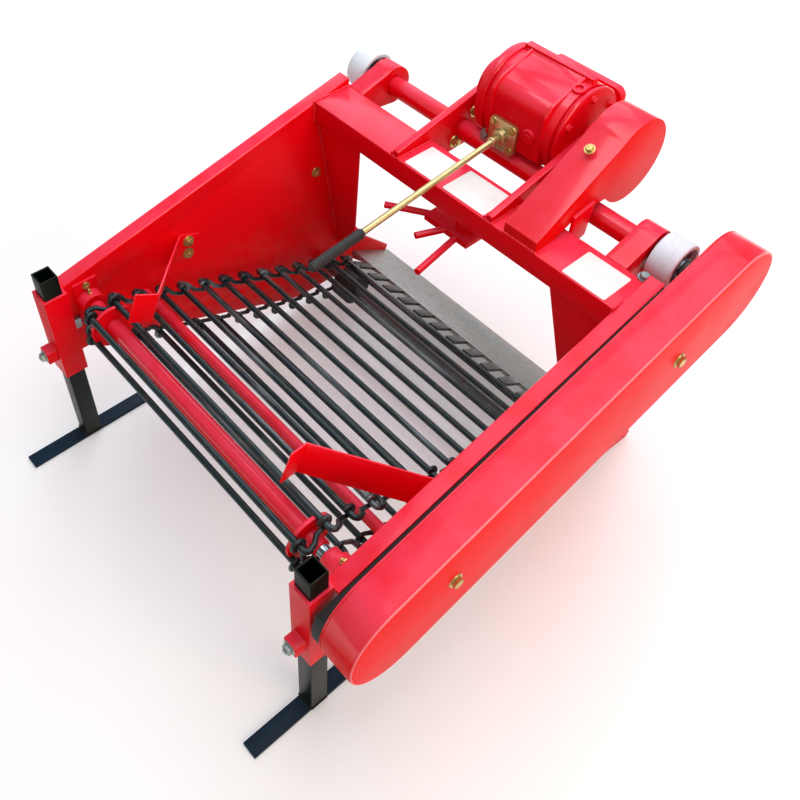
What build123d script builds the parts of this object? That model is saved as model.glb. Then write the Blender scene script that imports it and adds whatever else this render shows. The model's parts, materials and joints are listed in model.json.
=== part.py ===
"""Potato digger for a walking tractor: frame, rod web, drive and stands.

X points to the machine's right, Y in the direction of travel, Z up from the ground.
X 0 is the middle between the side plates and Y 0 is the axis of the rear drive shaft.
All sizes are in millimetres and all angles in degrees.
"""
import math
import os

from build123d import *

# Whole machine: width between the side plates, height of the rear shaft and of the front one
INNER_WIDTH = 650.0
SHAFT_HEIGHT = 308.0
IDLER_HEIGHT = 94.4

# Side plates and beam; a size ending in _UP is a height above the rear shaft
SHEET = 4.0
BEND_RADIUS = 3.0
FLANGE_WIDTH = 25.0
PLATE_TOP_UP = 57.0
PLATE_RISE = 0.235
PLATE_FOOT_UP = -103.0
PLATE_TOE_HEIGHT = 20.0
PLATE_TOE_LENGTH = 150.0
PLATE_NOSE = 26.0
BEAM_REAR = 484.0
BEAM_DEPTH = 80.0
BEAM_HEIGHT = 40.0
BEAM_TOP_UP = 174.0
BEAM_WALL = 3.0

# Corner gussets below the beam
GUSSET_TOP_WIDTH = 112.0
GUSSET_LOW_WIDTH = 56.0
GUSSET_DROP = 286.0
GUSSET_TIP_DROP = 330.0
GUSSET_LEAN = 0.164
GUSSET_REAR = 491.0

# Legs that hold up the rear
LEG_SIZE = 30.0
LEG_WALL = 2.5
LEG_TOP_UP = 92.0
LEG_INSET = 2.0
LEG_Y = -59.0
SLEEVE_SIZE = 40.0
SLEEVE_GAP = 0.25
SLEEVE_UP = -126.0
SLEEVE_LENGTH = 180.0
LUG_WIDTH = 24.0
LUG_REACH = 18.0
LUG_HEIGHT = 24.0
LUG_UP = -72.0
SKID_WIDTH = 28.0
SKID_THICKNESS = 6.0
SKID_LENGTH = 240.0

# Rod web and the wheels that carry it
ROD_PITCH = 45.0
ROD_RADIUS = 5.2
ROD_SIDES = 6
HOOK_SIDES = 6
WEB_TEETH = 5
WEB_RUN_LINKS = 12
LINK_INSET = 50.0
LINK_HOOK_STEP = 17.0
LINK_ARM_WIDTH = 8.0
HOOK_GAP = 0.3
HOOK_WALL = 3.8
WEB_SAG = 14.0
STAR_INSET = 79.0
STAR_THICKNESS = 6.0
ROLLER_INSET = 97.0
ROLLER_WIDTH = 40.0
RUNNING_GAP = 0.3

# Shafts, tubes and bearings
FIT = 0.05
SHAFT_RADIUS = 10.0
SHAFT_TUBE_RADIUS = 14.0
SHAFT_TUBE_LEFT_INSET = 27.0
SHAFT_TUBE_RIGHT_INSET = 53.0
SHAFT_COLLAR_RADIUS = 17.0
SHAFT_COLLAR_WIDTH = 15.0
SHAFT_COLLAR_GAP = 1.0
BEARING_RADIUS = 22.0
BEARING_DEPTH = 24.0
BEARING_FOOT = 84.0
TIE_RADIUS = 9.5
TIE_ALONG = 114.0
TIE_ABOVE = -9.7
CROSS_AHEAD = 79.0
CROSS_UP = 161.0
CROSS_TUBE_RADIUS = 18.0
CROSS_TUBE_WALL = 3.0
CROSS_SHAFT_RADIUS = 10.0
BRACKET_RADIUS = 36.0
BRACKET_WIDTH = 38.0
RIGHT_BRACKET_INSET = 75.0

# Wheels on the cross shaft
WHEEL_RADIUS = 40.0
WHEEL_WIDTH = 42.0
WHEEL_GAP = 6.0
LEFT_WHEEL_REACH = 51.0
TREAD_THICKNESS = 7.0
DISC_RECESS = 9.0
HUB_RADIUS = 17.0
HUB_PLAY = 1.0
COLLAR_RADIUS = 16.0
COLLAR_WIDTH = 6.0

# Long chain guard on the right side
GUARD_RADIUS = 84.0
GUARD_REACH = 44.0
GUARD_WIDTH = 56.0
GUARD_WALL = 3.0
GUARD_EDGE = 4.0
SPACER_RADIUS = 11.0
SPACER_SHARES = (0.15, 0.47, 0.79)
GUARD_BOLTS = ((0.14, 5.0), (0.81, -4.0))
GUARD_BOLT_RADIUS = 9.0
GUARD_BOLT_HEAD = 6.5
GUARD_WASHER_RADIUS = 12.0
GUARD_WASHER = 1.5

# Gearbox, its arms and the short chain case
GEAR_AHEAD = 63.0
GEAR_UP = 235.0
GEAR_RADIUS = 76.0
GEAR_HALF_WIDTH = 55.0
SPLIT_AHEAD = 8.0
SPLIT_THICKNESS = 14.0
SPLIT_RISE = 85.0
SPLIT_DROP = 91.0
SPLIT_HALF_WIDTH = 69.0
NECK_DROP = 87.0
NECK_RISE = 23.0
NECK_AHEAD = 94.0
DRUM_LEFT_X = -75.0
DRUM_RIGHT_X = 70.0
LEFT_COVER_RADIUS = 78.0
RIGHT_COVER_RADIUS = 72.0
COVER_THICKNESS = 12.0
BOSS_RADIUS = 44.0
OUTPUT_RADIUS = 29.0
ARM_THICKNESS = 12.0
BEAM_LIP = 2.0
ARM_REAR_HEIGHT = 11.0
ARM_FRONT_HEIGHT = 28.0
ARM_END = 34.0
ARM_END_DROP = 22.0
ARM_FOOT_DROP = 76.0
ARM_HEEL_DROP = 104.0
ARM_STRIP = 6.0
ARM_STRIP_HEIGHT = 5.0
LEFT_ARM_X = -126.0
RIGHT_ARM_X = 82.0
MOUNT_WIDTH = 150.0
MOUNT_HEIGHT = 128.0
MOUNT_THICKNESS = 14.0
MOUNT_BOLT_X = 120.0
MOUNT_BOLT_Z = 98.0
MOUNT_BOLT_RADIUS = 5.5
MOUNT_CORNER = 16.0
INPUT_RADIUS = 15.0
INPUT_DEPTH = 46.0
CASE_LEFT_X = 118.0
CASE_WIDTH = 62.0
CASE_WALL = 3.0
CASE_RADIUS = 72.0
CASE_REAR_HEIGHT = 18.0
CASE_CREST_UP = 68.0
CASE_CREST_BACK = 22.0
SUPPORT_THICKNESS = 6.0

# Clutch lever
LEVER_X = -17.0
LEVER_DROP = 25.0
LEVER_FLANGE = 56.0
LEVER_FLANGE_THICKNESS = 8.0
LEVER_PAD = 10.0
LEVER_SOCKET = 16.0
LEVER_ROD_RADIUS = 5.0
LEVER_LENGTH = 410.0
LEVER_SWING = 5.5
GRIP_RADIUS = 8.0
GRIP_LENGTH = 105.0
GRIP_CAP = 8.0

# Deflectors above the web, given along the web and above its rod centres
WING_START = 154.0
WING_FOOT = 42.0
WING_REACH = 145.0
WING_TIP = 13.0
WING_TAB = 35.0
WING_TAB_TURN = 8.0
WING_LIFT = 13.5
WING_HEIGHT = 52.0
WING_SHEET = 3.0

# Digging blade and the side arms that carry it
BLADE_AHEAD = 98.0
BLADE_RUN = 104.0
BLADE_REAR_HEIGHT = 58.0
BLADE_THICKNESS = 8.0
BLADE_BEVEL = 26.0
ARM_PLATE = 8.0
ARM_AHEAD = 16.0
ARM_SHOULDER = 56.0
ARM_TOP = 170.0
ARM_LOW = 60.0
FINGER_COUNT = 13
FINGER_INSET = 55.0
FINGER_WIDTH = 22.0
FINGER_LENGTH = 54.0
FINGER_RISE = 6.0
FINGER_THICKNESS = 6.0

# Bracket below the beam, with three bars that reach back; bar ends are (x, y) places
HITCH_X = 8.0
HITCH_Y = 538.0
HITCH_HUB_RADIUS = 20.0
HITCH_DROP = 56.0
HITCH_PAD = 12.0
HITCH_BAR_RADIUS = 6.0
HITCH_PAD_SIDES = (-62.0, 36.0, 508.0, 562.0)
HITCH_BARS = (((-53, 526), (-128, 477)), ((-12, 523), (-37, 462)), ((9, 516), (27, 404)))

# Places that follow from the sizes above
HALF_WIDTH = INNER_WIDTH / 2
LEG_X = HALF_WIDTH - LEG_INSET
LINK_ARM_X = HALF_WIDTH - LINK_INSET
LINK_HOOK_X = LINK_ARM_X - LINK_HOOK_STEP
STAR_X = HALF_WIDTH - STAR_INSET
ROLLER_X = HALF_WIDTH - ROLLER_INSET
SHAFT_TUBE_LEFT = HALF_WIDTH - SHAFT_TUBE_LEFT_INSET
SHAFT_TUBE_RIGHT = HALF_WIDTH - SHAFT_TUBE_RIGHT_INSET
SHAFT_COLLAR_X = HALF_WIDTH - BEARING_DEPTH - SHAFT_COLLAR_GAP
WING_TIP_X = HALF_WIDTH - WING_REACH
LEFT_WHEEL_X = -HALF_WIDTH - LEFT_WHEEL_REACH
RIGHT_BRACKET_X = HALF_WIDTH - RIGHT_BRACKET_INSET
GUARD_INNER_X = HALF_WIDTH + GUARD_REACH
BEAM_FRONT = BEAM_REAR + BEAM_DEPTH
PLATE_TOP = SHAFT_HEIGHT + PLATE_TOP_UP
PLATE_FOOT = SHAFT_HEIGHT + PLATE_FOOT_UP
BEAM_TOP = SHAFT_HEIGHT + BEAM_TOP_UP
BEAM_BOTTOM = BEAM_TOP - BEAM_HEIGHT
LEG_TOP = SHAFT_HEIGHT + LEG_TOP_UP
SLEEVE_BOTTOM = SHAFT_HEIGHT + SLEEVE_UP
LUG_Z = SHAFT_HEIGHT + LUG_UP
CROSS_Y = BEAM_FRONT + CROSS_AHEAD
CROSS_Z = SHAFT_HEIGHT + CROSS_UP
GEAR_Y = CROSS_Y + GEAR_AHEAD
SPLIT_Y = GEAR_Y + SPLIT_AHEAD
NECK_FRONT = GEAR_Y + NECK_AHEAD
GEAR_Z = SHAFT_HEIGHT + GEAR_UP
SPLIT_TOP = GEAR_Z + SPLIT_RISE
SPLIT_BOTTOM = GEAR_Z - SPLIT_DROP
NECK_BOTTOM = GEAR_Z - NECK_DROP
NECK_TOP = GEAR_Z + NECK_RISE
LEVER_Z = GEAR_Z - LEVER_DROP
HITCH_PAD_TOP = BEAM_BOTTOM - HITCH_DROP
FINGER_PITCH = (INNER_WIDTH - 2 * FINGER_INSET) / (FINGER_COUNT - 1)
SLEEVE_FRONT = LEG_Y + SLEEVE_SIZE / 2
PITCH_RADIUS = ROD_PITCH / (2 * math.sin(math.pi / WEB_TEETH))
ROLLER_RADIUS = PITCH_RADIUS - ROD_RADIUS - RUNNING_GAP
RIGHT_WHEEL_X = RIGHT_BRACKET_X + BRACKET_WIDTH + WHEEL_GAP
LEFT_BRACKET_X = -HALF_WIDTH
BACK_PLATE_X = GUARD_INNER_X - GUARD_WALL
GEAR_REAR = GEAR_Y - GEAR_RADIUS
GUARD_FACE_X = GUARD_INNER_X + GUARD_WIDTH
BOLT_FACE_X = GUARD_FACE_X + GUARD_WASHER + GUARD_BOLT_HEAD

# The origin is the middle of the machine's box, on the ground
CENTRE_X = (BOLT_FACE_X + LEFT_WHEEL_X - HUB_PLAY - COLLAR_WIDTH) / 2
CENTRE_Y = (NECK_FRONT + MOUNT_THICKNESS + LEG_Y - SKID_LENGTH / 2) / 2


def outline_yz(points, x_start, x_end):
    """Solid between two X values from a closed outline of (y, z) points."""
    face = Plane.YZ.offset(x_start) * Polygon(*points, align=None)
    return extrude(face, amount=x_end - x_start, dir=(1, 0, 0))


def round_x(y, z, radius, x_start, x_end):
    """Solid cylinder along X."""
    face = Plane.YZ.offset(x_start) * Pos(y, z) * Circle(radius)
    return extrude(face, amount=x_end - x_start)


def block(x_start, x_end, y_start, y_end, z_start, z_end):
    """Solid block between two corners."""
    size = (x_end - x_start, y_end - y_start, z_end - z_start)
    middle = ((x_start + x_end) / 2, (y_start + y_end) / 2, (z_start + z_end) / 2)
    return Pos(*middle) * Box(*size)


def plate_top(y):
    """Height of a side plate's top flange at y."""
    return PLATE_TOP + PLATE_RISE * y


WEB_LENGTH = WEB_RUN_LINKS * ROD_PITCH
SLOPE = math.asin((SHAFT_HEIGHT - IDLER_HEIGHT) / WEB_LENGTH)
IDLER_Y = WEB_LENGTH * math.cos(SLOPE)
BLADE_REAR = IDLER_Y + BLADE_AHEAD
BLADE_FRONT = BLADE_REAR + BLADE_RUN
ARM_REAR = IDLER_Y + ARM_AHEAD


def web_point(along, above):
    """(y, z) of a point given along the web and square to it, from the rear shaft."""
    y = along * math.cos(SLOPE) + above * math.sin(SLOPE)
    z = SHAFT_HEIGHT - along * math.sin(SLOPE) + above * math.cos(SLOPE)
    return y, z


def return_run(first, links):
    """(along, above) places at even steps along the sagging lower run, from its front to its rear."""
    samples = 40 * links
    width = WEB_LENGTH - 2 * first
    curve = []
    for i in range(samples + 1):
        share = i / samples
        sag = 4 * WEB_SAG * share * (1 - share)
        curve.append((WEB_LENGTH - first - width * share, -PITCH_RADIUS - sag))
    walked = [0]
    for here, after in zip(curve, curve[1:]):
        walked.append(walked[-1] + math.dist(here, after))
    places = []
    for link in range(links + 1):
        goal = walked[-1] * link / links
        nearest = min(range(samples + 1), key=lambda i: abs(walked[i] - goal))
        places.append(curve[nearest])
    return places


def rod_centres():
    """Rod centres round the closed loop: along the top, round the wheels and back below."""
    step = 2 * math.pi / WEB_TEETH
    rear = [(-PITCH_RADIUS * math.sin(i * step), PITCH_RADIUS * math.cos(i * step)) for i in (2, 1)]
    upper = [(i * ROD_PITCH, PITCH_RADIUS) for i in range(WEB_RUN_LINKS + 1)]
    front = [(WEB_LENGTH - along, above) for along, above in reversed(rear)]
    first, drop = rear[0][0], PITCH_RADIUS + rear[0][1]
    first += math.sqrt(ROD_PITCH ** 2 - drop ** 2)
    lower = return_run(first, WEB_RUN_LINKS - 1)
    return [web_point(*spot) for spot in rear + upper + front + lower]


def web_link():
    """One rod with an arm and an open hook at each end that grip the next rod."""
    rod_face = Plane.YZ.offset(-LINK_ARM_X - LINK_ARM_WIDTH / 2) * RegularPolygon(ROD_RADIUS, ROD_SIDES)
    link = extrude(rod_face, amount=2 * LINK_ARM_X + LINK_ARM_WIDTH)
    eye_radius = (ROD_RADIUS + HOOK_GAP) / math.cos(math.pi / HOOK_SIDES)
    ring = RegularPolygon(eye_radius + HOOK_WALL, HOOK_SIDES) - RegularPolygon(eye_radius, HOOK_SIDES)
    reach = 2 * (eye_radius + HOOK_WALL)
    across = reach * math.tan(math.pi / HOOK_SIDES)
    mouth = Polygon((0, 0), (-across, -reach), (across, -reach), align=None)
    hook_face = Plane.YZ * Pos(ROD_PITCH, 0) * (ring - mouth)
    half_arm = LINK_ARM_WIDTH / 2
    arm_end = ROD_PITCH - eye_radius - HOOK_WALL / 4
    for side in (-1, 1):
        hook = Pos(side * LINK_HOOK_X - half_arm, 0, 0) * extrude(hook_face, amount=LINK_ARM_WIDTH)
        corners = [
            (side * LINK_ARM_X - half_arm, 0),
            (side * LINK_ARM_X + half_arm, 0),
            (side * LINK_HOOK_X + half_arm, arm_end),
            (side * LINK_HOOK_X - half_arm, arm_end),
        ]
        face = Pos(0, 0, -half_arm) * Polygon(*corners, align=None)
        arm = extrude(face, amount=LINK_ARM_WIDTH, dir=(0, 0, 1))
        link = link + arm + hook
    return link


def rod_web():
    """The closed loop of hook-linked rods."""
    link = web_link()
    centres = rod_centres()
    links = []
    for (y, z), (next_y, next_z) in zip(centres, centres[1:] + centres[:1]):
        turn = math.degrees(math.atan2(next_z - z, next_y - y))
        links.append(Pos(0, y, z) * Rot(turn, 0, 0) * link)
    return links


def side_plate():
    """Right side plate: a sheet with its top edge bent outwards."""
    toe_rear = BEAM_FRONT + PLATE_NOSE - PLATE_TOE_LENGTH
    outline = [
        (SLEEVE_FRONT, PLATE_FOOT),
        (0, PLATE_FOOT),
        (toe_rear, PLATE_TOE_HEIGHT),
        (BEAM_FRONT + PLATE_NOSE, PLATE_TOE_HEIGHT),
        (BEAM_FRONT, plate_top(BEAM_FRONT)),
        (SLEEVE_FRONT, plate_top(SLEEVE_FRONT)),
    ]
    sheet = outline_yz(outline, HALF_WIDTH, HALF_WIDTH + SHEET)
    flange_outline = [
        (SLEEVE_FRONT, plate_top(SLEEVE_FRONT) - SHEET),
        (BEAM_FRONT, plate_top(BEAM_FRONT) - SHEET),
        (BEAM_FRONT, plate_top(BEAM_FRONT)),
        (SLEEVE_FRONT, plate_top(SLEEVE_FRONT)),
    ]
    flange = outline_yz(flange_outline, HALF_WIDTH, HALF_WIDTH + FLANGE_WIDTH)
    plate = sheet + flange
    bend = plate.edges().filter_by(lambda e: abs(e.center().X - HALF_WIDTH) < 0.01).sort_by(Axis.Z)[-1]
    plate = fillet(bend, BEND_RADIUS)
    for y, z in ((0, SHAFT_HEIGHT), (IDLER_Y, IDLER_HEIGHT)):
        plate = plate - round_x(y, z, SHAFT_RADIUS + FIT, HALF_WIDTH - 1, HALF_WIDTH + SHEET + 1)
    return plate


def crossbeam():
    """Rectangular tube between the side plates."""
    outer = block(-HALF_WIDTH, HALF_WIDTH, BEAM_REAR, BEAM_FRONT, BEAM_BOTTOM, BEAM_TOP)
    inner = block(
        -HALF_WIDTH, HALF_WIDTH, BEAM_REAR + BEAM_WALL, BEAM_FRONT - BEAM_WALL,
        BEAM_BOTTOM + BEAM_WALL, BEAM_TOP - BEAM_WALL,
    )
    return outer - inner


def corner_gusset():
    """Right tapered plate from the beam down the front of the side plate."""
    def at(x, z):
        return x, GUSSET_REAR + (BEAM_BOTTOM - z) * GUSSET_LEAN, z

    corners = [
        at(HALF_WIDTH, BEAM_BOTTOM),
        at(HALF_WIDTH - GUSSET_TOP_WIDTH, BEAM_BOTTOM),
        at(HALF_WIDTH - GUSSET_LOW_WIDTH, BEAM_BOTTOM - GUSSET_DROP),
        at(HALF_WIDTH, BEAM_BOTTOM - GUSSET_TIP_DROP),
    ]
    face = make_face(Polyline(*corners, close=True))
    plate = extrude(face, amount=SHEET, dir=(0, 1, 0))
    return plate


def leg_sleeve():
    """Right socket for the leg, with a lug for the locking screw."""
    half = SLEEVE_SIZE / 2
    hole = LEG_SIZE / 2 + SLEEVE_GAP
    top = SLEEVE_BOTTOM + SLEEVE_LENGTH
    sleeve = block(LEG_X - half, LEG_X + half, LEG_Y - half, LEG_Y + half, SLEEVE_BOTTOM, top)
    sleeve = sleeve + block(
        LEG_X - LUG_WIDTH / 2, LEG_X + LUG_WIDTH / 2, LEG_Y - half - LUG_REACH, LEG_Y - half,
        LUG_Z - LUG_HEIGHT / 2, LUG_Z + LUG_HEIGHT / 2,
    )
    sleeve = sleeve - block(LEG_X - hole, LEG_X + hole, LEG_Y - hole, LEG_Y + hole, SLEEVE_BOTTOM, top)
    return sleeve


def leg_tube():
    """Right square leg tube, open at the top."""
    half = LEG_SIZE / 2
    hole = half - LEG_WALL
    outer = block(LEG_X - half, LEG_X + half, LEG_Y - half, LEG_Y + half, SKID_THICKNESS, LEG_TOP)
    return outer - block(LEG_X - hole, LEG_X + hole, LEG_Y - hole, LEG_Y + hole, SKID_THICKNESS, LEG_TOP)


def skid():
    """Right flat bar that the leg stands on."""
    bar = block(
        LEG_X - SKID_WIDTH / 2, LEG_X + SKID_WIDTH / 2, LEG_Y - SKID_LENGTH / 2,
        LEG_Y + SKID_LENGTH / 2, 0, SKID_THICKNESS,
    )
    return bar


def shaft_bearing():
    """Right bearing block on the inside of the side plate."""
    housing = round_x(0, SHAFT_HEIGHT, BEARING_RADIUS, HALF_WIDTH - BEARING_DEPTH, HALF_WIDTH)
    foot = block(
        HALF_WIDTH - SHEET, HALF_WIDTH, -BEARING_RADIUS, BEARING_RADIUS,
        SHAFT_HEIGHT - BEARING_FOOT / 2, SHAFT_HEIGHT + BEARING_FOOT / 2,
    )
    foot = fillet(foot.edges().filter_by(Axis.X), BEND_RADIUS)
    bore = round_x(0, SHAFT_HEIGHT, SHAFT_RADIUS + FIT, HALF_WIDTH - BEARING_DEPTH, HALF_WIDTH)
    return housing + foot - bore


def rear_drive_shaft():
    """Shaft through both side plates with a tube round its middle and a collar at its right."""
    shaft = round_x(0, SHAFT_HEIGHT, SHAFT_RADIUS, -HALF_WIDTH - SHEET, GUARD_INNER_X + GUARD_WIDTH / 2)
    shaft = shaft + round_x(0, SHAFT_HEIGHT, SHAFT_TUBE_RADIUS, -SHAFT_TUBE_LEFT, SHAFT_TUBE_RIGHT)
    collar_start = SHAFT_COLLAR_X - SHAFT_COLLAR_WIDTH
    return shaft + round_x(0, SHAFT_HEIGHT, SHAFT_COLLAR_RADIUS, collar_start, SHAFT_COLLAR_X)


def star_wheel(x_middle):
    """Wheel with a round notch for each rod that it drives."""
    x_start, x_end = x_middle - STAR_THICKNESS / 2, x_middle + STAR_THICKNESS / 2
    wheel = round_x(0, SHAFT_HEIGHT, PITCH_RADIUS, x_start, x_end)
    for tooth in range(WEB_TEETH):
        turn = 2 * math.pi * tooth / WEB_TEETH
        y, z = web_point(PITCH_RADIUS * math.sin(turn), PITCH_RADIUS * math.cos(turn))
        wheel = wheel - round_x(y, z, ROD_RADIUS + RUNNING_GAP, x_start, x_end)
    return wheel - round_x(0, SHAFT_HEIGHT, SHAFT_TUBE_RADIUS + FIT, x_start, x_end)


def web_star_wheels():
    return [star_wheel(-STAR_X), star_wheel(STAR_X)]


def front_idler_shaft():
    return round_x(IDLER_Y, IDLER_HEIGHT, SHAFT_RADIUS, -HALF_WIDTH - SHEET, HALF_WIDTH + SHEET)


def front_idler_rollers():
    """Two smooth rollers that turn the web back at its front."""
    rollers = []
    for side in (-1, 1):
        x_start = side * ROLLER_X - ROLLER_WIDTH / 2
        x_end = x_start + ROLLER_WIDTH
        roller = round_x(IDLER_Y, IDLER_HEIGHT, ROLLER_RADIUS, x_start, x_end)
        rollers.append(roller - round_x(IDLER_Y, IDLER_HEIGHT, SHAFT_RADIUS + FIT, x_start, x_end))
    return rollers


def inner_tie_tube():
    y, z = web_point(TIE_ALONG, TIE_ABOVE)
    return round_x(y, z, TIE_RADIUS, -HALF_WIDTH, HALF_WIDTH)


def cross_tube():
    """Tube ahead of the beam, between the two end brackets."""
    x_end = RIGHT_BRACKET_X + BRACKET_WIDTH
    outer = round_x(CROSS_Y, CROSS_Z, CROSS_TUBE_RADIUS, LEFT_BRACKET_X, x_end)
    return outer - round_x(CROSS_Y, CROSS_Z, CROSS_TUBE_RADIUS - CROSS_TUBE_WALL, LEFT_BRACKET_X, x_end)


def cross_shaft():
    """Shaft through the cross tube that carries the wheels and drives the long chain."""
    x_left = LEFT_WHEEL_X - HUB_PLAY - COLLAR_WIDTH
    shaft = round_x(CROSS_Y, CROSS_Z, CROSS_SHAFT_RADIUS, x_left, GUARD_INNER_X + GUARD_WIDTH / 2)
    collars = (
        (x_left, x_left + COLLAR_WIDTH),
        (LEFT_WHEEL_X + WHEEL_WIDTH + HUB_PLAY, LEFT_BRACKET_X),
        (RIGHT_BRACKET_X + BRACKET_WIDTH, RIGHT_WHEEL_X - HUB_PLAY),
        (RIGHT_WHEEL_X + WHEEL_WIDTH + HUB_PLAY, BACK_PLATE_X),
    )
    for x_start, x_end in collars:
        shaft = shaft + round_x(CROSS_Y, CROSS_Z, COLLAR_RADIUS, x_start, x_end)
    return shaft


def tube_bracket(x_start):
    """Bracket from the beam's front face that clamps round the cross tube."""
    x_end = x_start + BRACKET_WIDTH
    arm = [
        (BEAM_FRONT, BEAM_BOTTOM),
        (CROSS_Y, CROSS_Z - BRACKET_RADIUS),
        (CROSS_Y, CROSS_Z + BRACKET_RADIUS),
        (BEAM_FRONT, BEAM_TOP),
    ]
    bracket = outline_yz(arm, x_start, x_end) + round_x(CROSS_Y, CROSS_Z, BRACKET_RADIUS, x_start, x_end)
    return bracket - round_x(CROSS_Y, CROSS_Z, CROSS_TUBE_RADIUS + FIT, x_start, x_end)


def wheel_tread(x_start):
    x_end = x_start + WHEEL_WIDTH
    tread = round_x(CROSS_Y, CROSS_Z, WHEEL_RADIUS, x_start, x_end)
    return tread - round_x(CROSS_Y, CROSS_Z, WHEEL_RADIUS - TREAD_THICKNESS, x_start, x_end)


def wheel_hub(x_start):
    """Disc inside the tread with a hub that runs on the cross shaft."""
    x_end = x_start + WHEEL_WIDTH
    disc_radius = WHEEL_RADIUS - TREAD_THICKNESS
    disc = round_x(CROSS_Y, CROSS_Z, disc_radius, x_start + DISC_RECESS, x_end - DISC_RECESS)
    hub = round_x(CROSS_Y, CROSS_Z, HUB_RADIUS, x_start, x_end)
    return disc + hub - round_x(CROSS_Y, CROSS_Z, CROSS_SHAFT_RADIUS + FIT, x_start, x_end)


def slot_outline(radius):
    """Outline with round ends about the rear shaft and the cross shaft."""
    run = math.hypot(CROSS_Y, CROSS_Z - SHAFT_HEIGHT)
    tilt = math.degrees(math.atan2(CROSS_Z - SHAFT_HEIGHT, CROSS_Y))
    middle = Pos(CROSS_Y / 2, (SHAFT_HEIGHT + CROSS_Z) / 2)
    return middle * Rot(0, 0, tilt) * SlotCenterToCenter(run, 2 * radius)


def long_chain_guard():
    """Cup-shaped cover over the long chain, open towards the back plate."""
    shell = extrude(Plane.YZ.offset(GUARD_INNER_X) * slot_outline(GUARD_RADIUS), amount=GUARD_WIDTH)
    rim = shell.faces().sort_by(Axis.X)[-1].edges()
    shell = chamfer(rim, GUARD_EDGE)
    inside = slot_outline(GUARD_RADIUS - GUARD_WALL)
    return shell - extrude(Plane.YZ.offset(GUARD_INNER_X) * inside, amount=GUARD_WIDTH - GUARD_WALL)


def chain_back_plate():
    plate = extrude(Plane.YZ.offset(BACK_PLATE_X) * slot_outline(GUARD_RADIUS), amount=GUARD_WALL)
    for y, z in ((0, SHAFT_HEIGHT), (CROSS_Y, CROSS_Z)):
        plate = plate - round_x(y, z, SHAFT_RADIUS + FIT, BACK_PLATE_X, GUARD_INNER_X)
    return plate


def chain_line(share):
    """(y, z) place on the line from the rear shaft to the cross shaft."""
    return share * CROSS_Y, SHAFT_HEIGHT + share * (CROSS_Z - SHAFT_HEIGHT)


def guard_spacers():
    """Round spacers that hold the guard off the side plate."""
    places = [chain_line(share) for share in SPACER_SHARES]
    return [round_x(y, z, SPACER_RADIUS, HALF_WIDTH + SHEET, BACK_PLATE_X) for y, z in places]


def guard_bolts():
    """The two bolt heads with washers that hold the guard's outer face."""
    bolts = []
    for share, above in GUARD_BOLTS:
        y, z = chain_line(share)
        washer = round_x(y, z + above, GUARD_WASHER_RADIUS, GUARD_FACE_X, GUARD_FACE_X + GUARD_WASHER)
        face = Plane.YZ.offset(GUARD_FACE_X + GUARD_WASHER) * Pos(y, z + above)
        bolts.append(washer + extrude(face * RegularPolygon(GUARD_BOLT_RADIUS, 6), amount=GUARD_BOLT_HEAD))
    return bolts


def gearbox_arm(x_start):
    """Flat arm from the top of the beam to the gearbox, drilled for the cross tube."""
    outline = [
        (BEAM_REAR + BEAM_LIP, BEAM_TOP),
        (BEAM_REAR + BEAM_LIP, BEAM_TOP + ARM_REAR_HEIGHT),
        (BEAM_FRONT - 6, BEAM_TOP + ARM_FRONT_HEIGHT),
        (GEAR_Y + 14, GEAR_Z + 4),
        (GEAR_Y + ARM_END, GEAR_Z - ARM_END_DROP),
        (GEAR_Y + ARM_END_DROP, GEAR_Z - ARM_FOOT_DROP),
        (GEAR_Y - 14, GEAR_Z - ARM_HEEL_DROP),
        (BEAM_FRONT + 26, BEAM_BOTTOM - 8),
        (BEAM_FRONT, BEAM_BOTTOM + 4),
        (BEAM_FRONT, BEAM_TOP),
    ]
    arm = outline_yz(outline, x_start, x_start + ARM_THICKNESS)
    arm = arm + block(
        x_start - ARM_STRIP, x_start, BEAM_REAR + BEAM_LIP, BEAM_FRONT - 6,
        BEAM_TOP, BEAM_TOP + ARM_STRIP_HEIGHT,
    )
    return arm - round_x(CROSS_Y, CROSS_Z, CROSS_TUBE_RADIUS + FIT, x_start, x_start + ARM_THICKNESS)


def gearbox_housing():
    """Cast body: a drum across the machine, a sloping top, a split flange and a neck."""
    width = GEAR_HALF_WIDTH
    body = round_x(GEAR_Y, GEAR_Z, GEAR_RADIUS, DRUM_LEFT_X, DRUM_RIGHT_X)
    top = [
        (GEAR_REAR + 8, GEAR_Z - 48),
        (GEAR_REAR, GEAR_Z - 42),
        (GEAR_REAR, GEAR_Z + 42),
        (GEAR_REAR + 12, GEAR_Z + 58),
        (SPLIT_Y, SPLIT_TOP - 4),
        (SPLIT_Y, NECK_BOTTOM),
    ]
    body = body + outline_yz(top, -width, width)
    body = body + block(
        -SPLIT_HALF_WIDTH, SPLIT_HALF_WIDTH, SPLIT_Y, SPLIT_Y + SPLIT_THICKNESS, SPLIT_BOTTOM, SPLIT_TOP
    )
    body = body + block(-width, width, SPLIT_Y, NECK_FRONT, NECK_BOTTOM, NECK_TOP)
    return body - extrude(mount_plane() * Circle(INPUT_RADIUS), amount=-INPUT_DEPTH)


def gearbox_left_cover():
    """Round cover with a boss that the left arm is bolted to."""
    cover = round_x(GEAR_Y, GEAR_Z, LEFT_COVER_RADIUS, DRUM_LEFT_X - COVER_THICKNESS, DRUM_LEFT_X)
    return cover + round_x(GEAR_Y, GEAR_Z, BOSS_RADIUS, LEFT_ARM_X + ARM_THICKNESS, DRUM_LEFT_X)


def gearbox_right_cover():
    """Round cover between the gearbox and its right arm."""
    return round_x(GEAR_Y, GEAR_Z, RIGHT_COVER_RADIUS, DRUM_RIGHT_X, RIGHT_ARM_X)


def output_housing():
    return round_x(GEAR_Y, GEAR_Z, OUTPUT_RADIUS, RIGHT_ARM_X + ARM_THICKNESS, CASE_LEFT_X)


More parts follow.
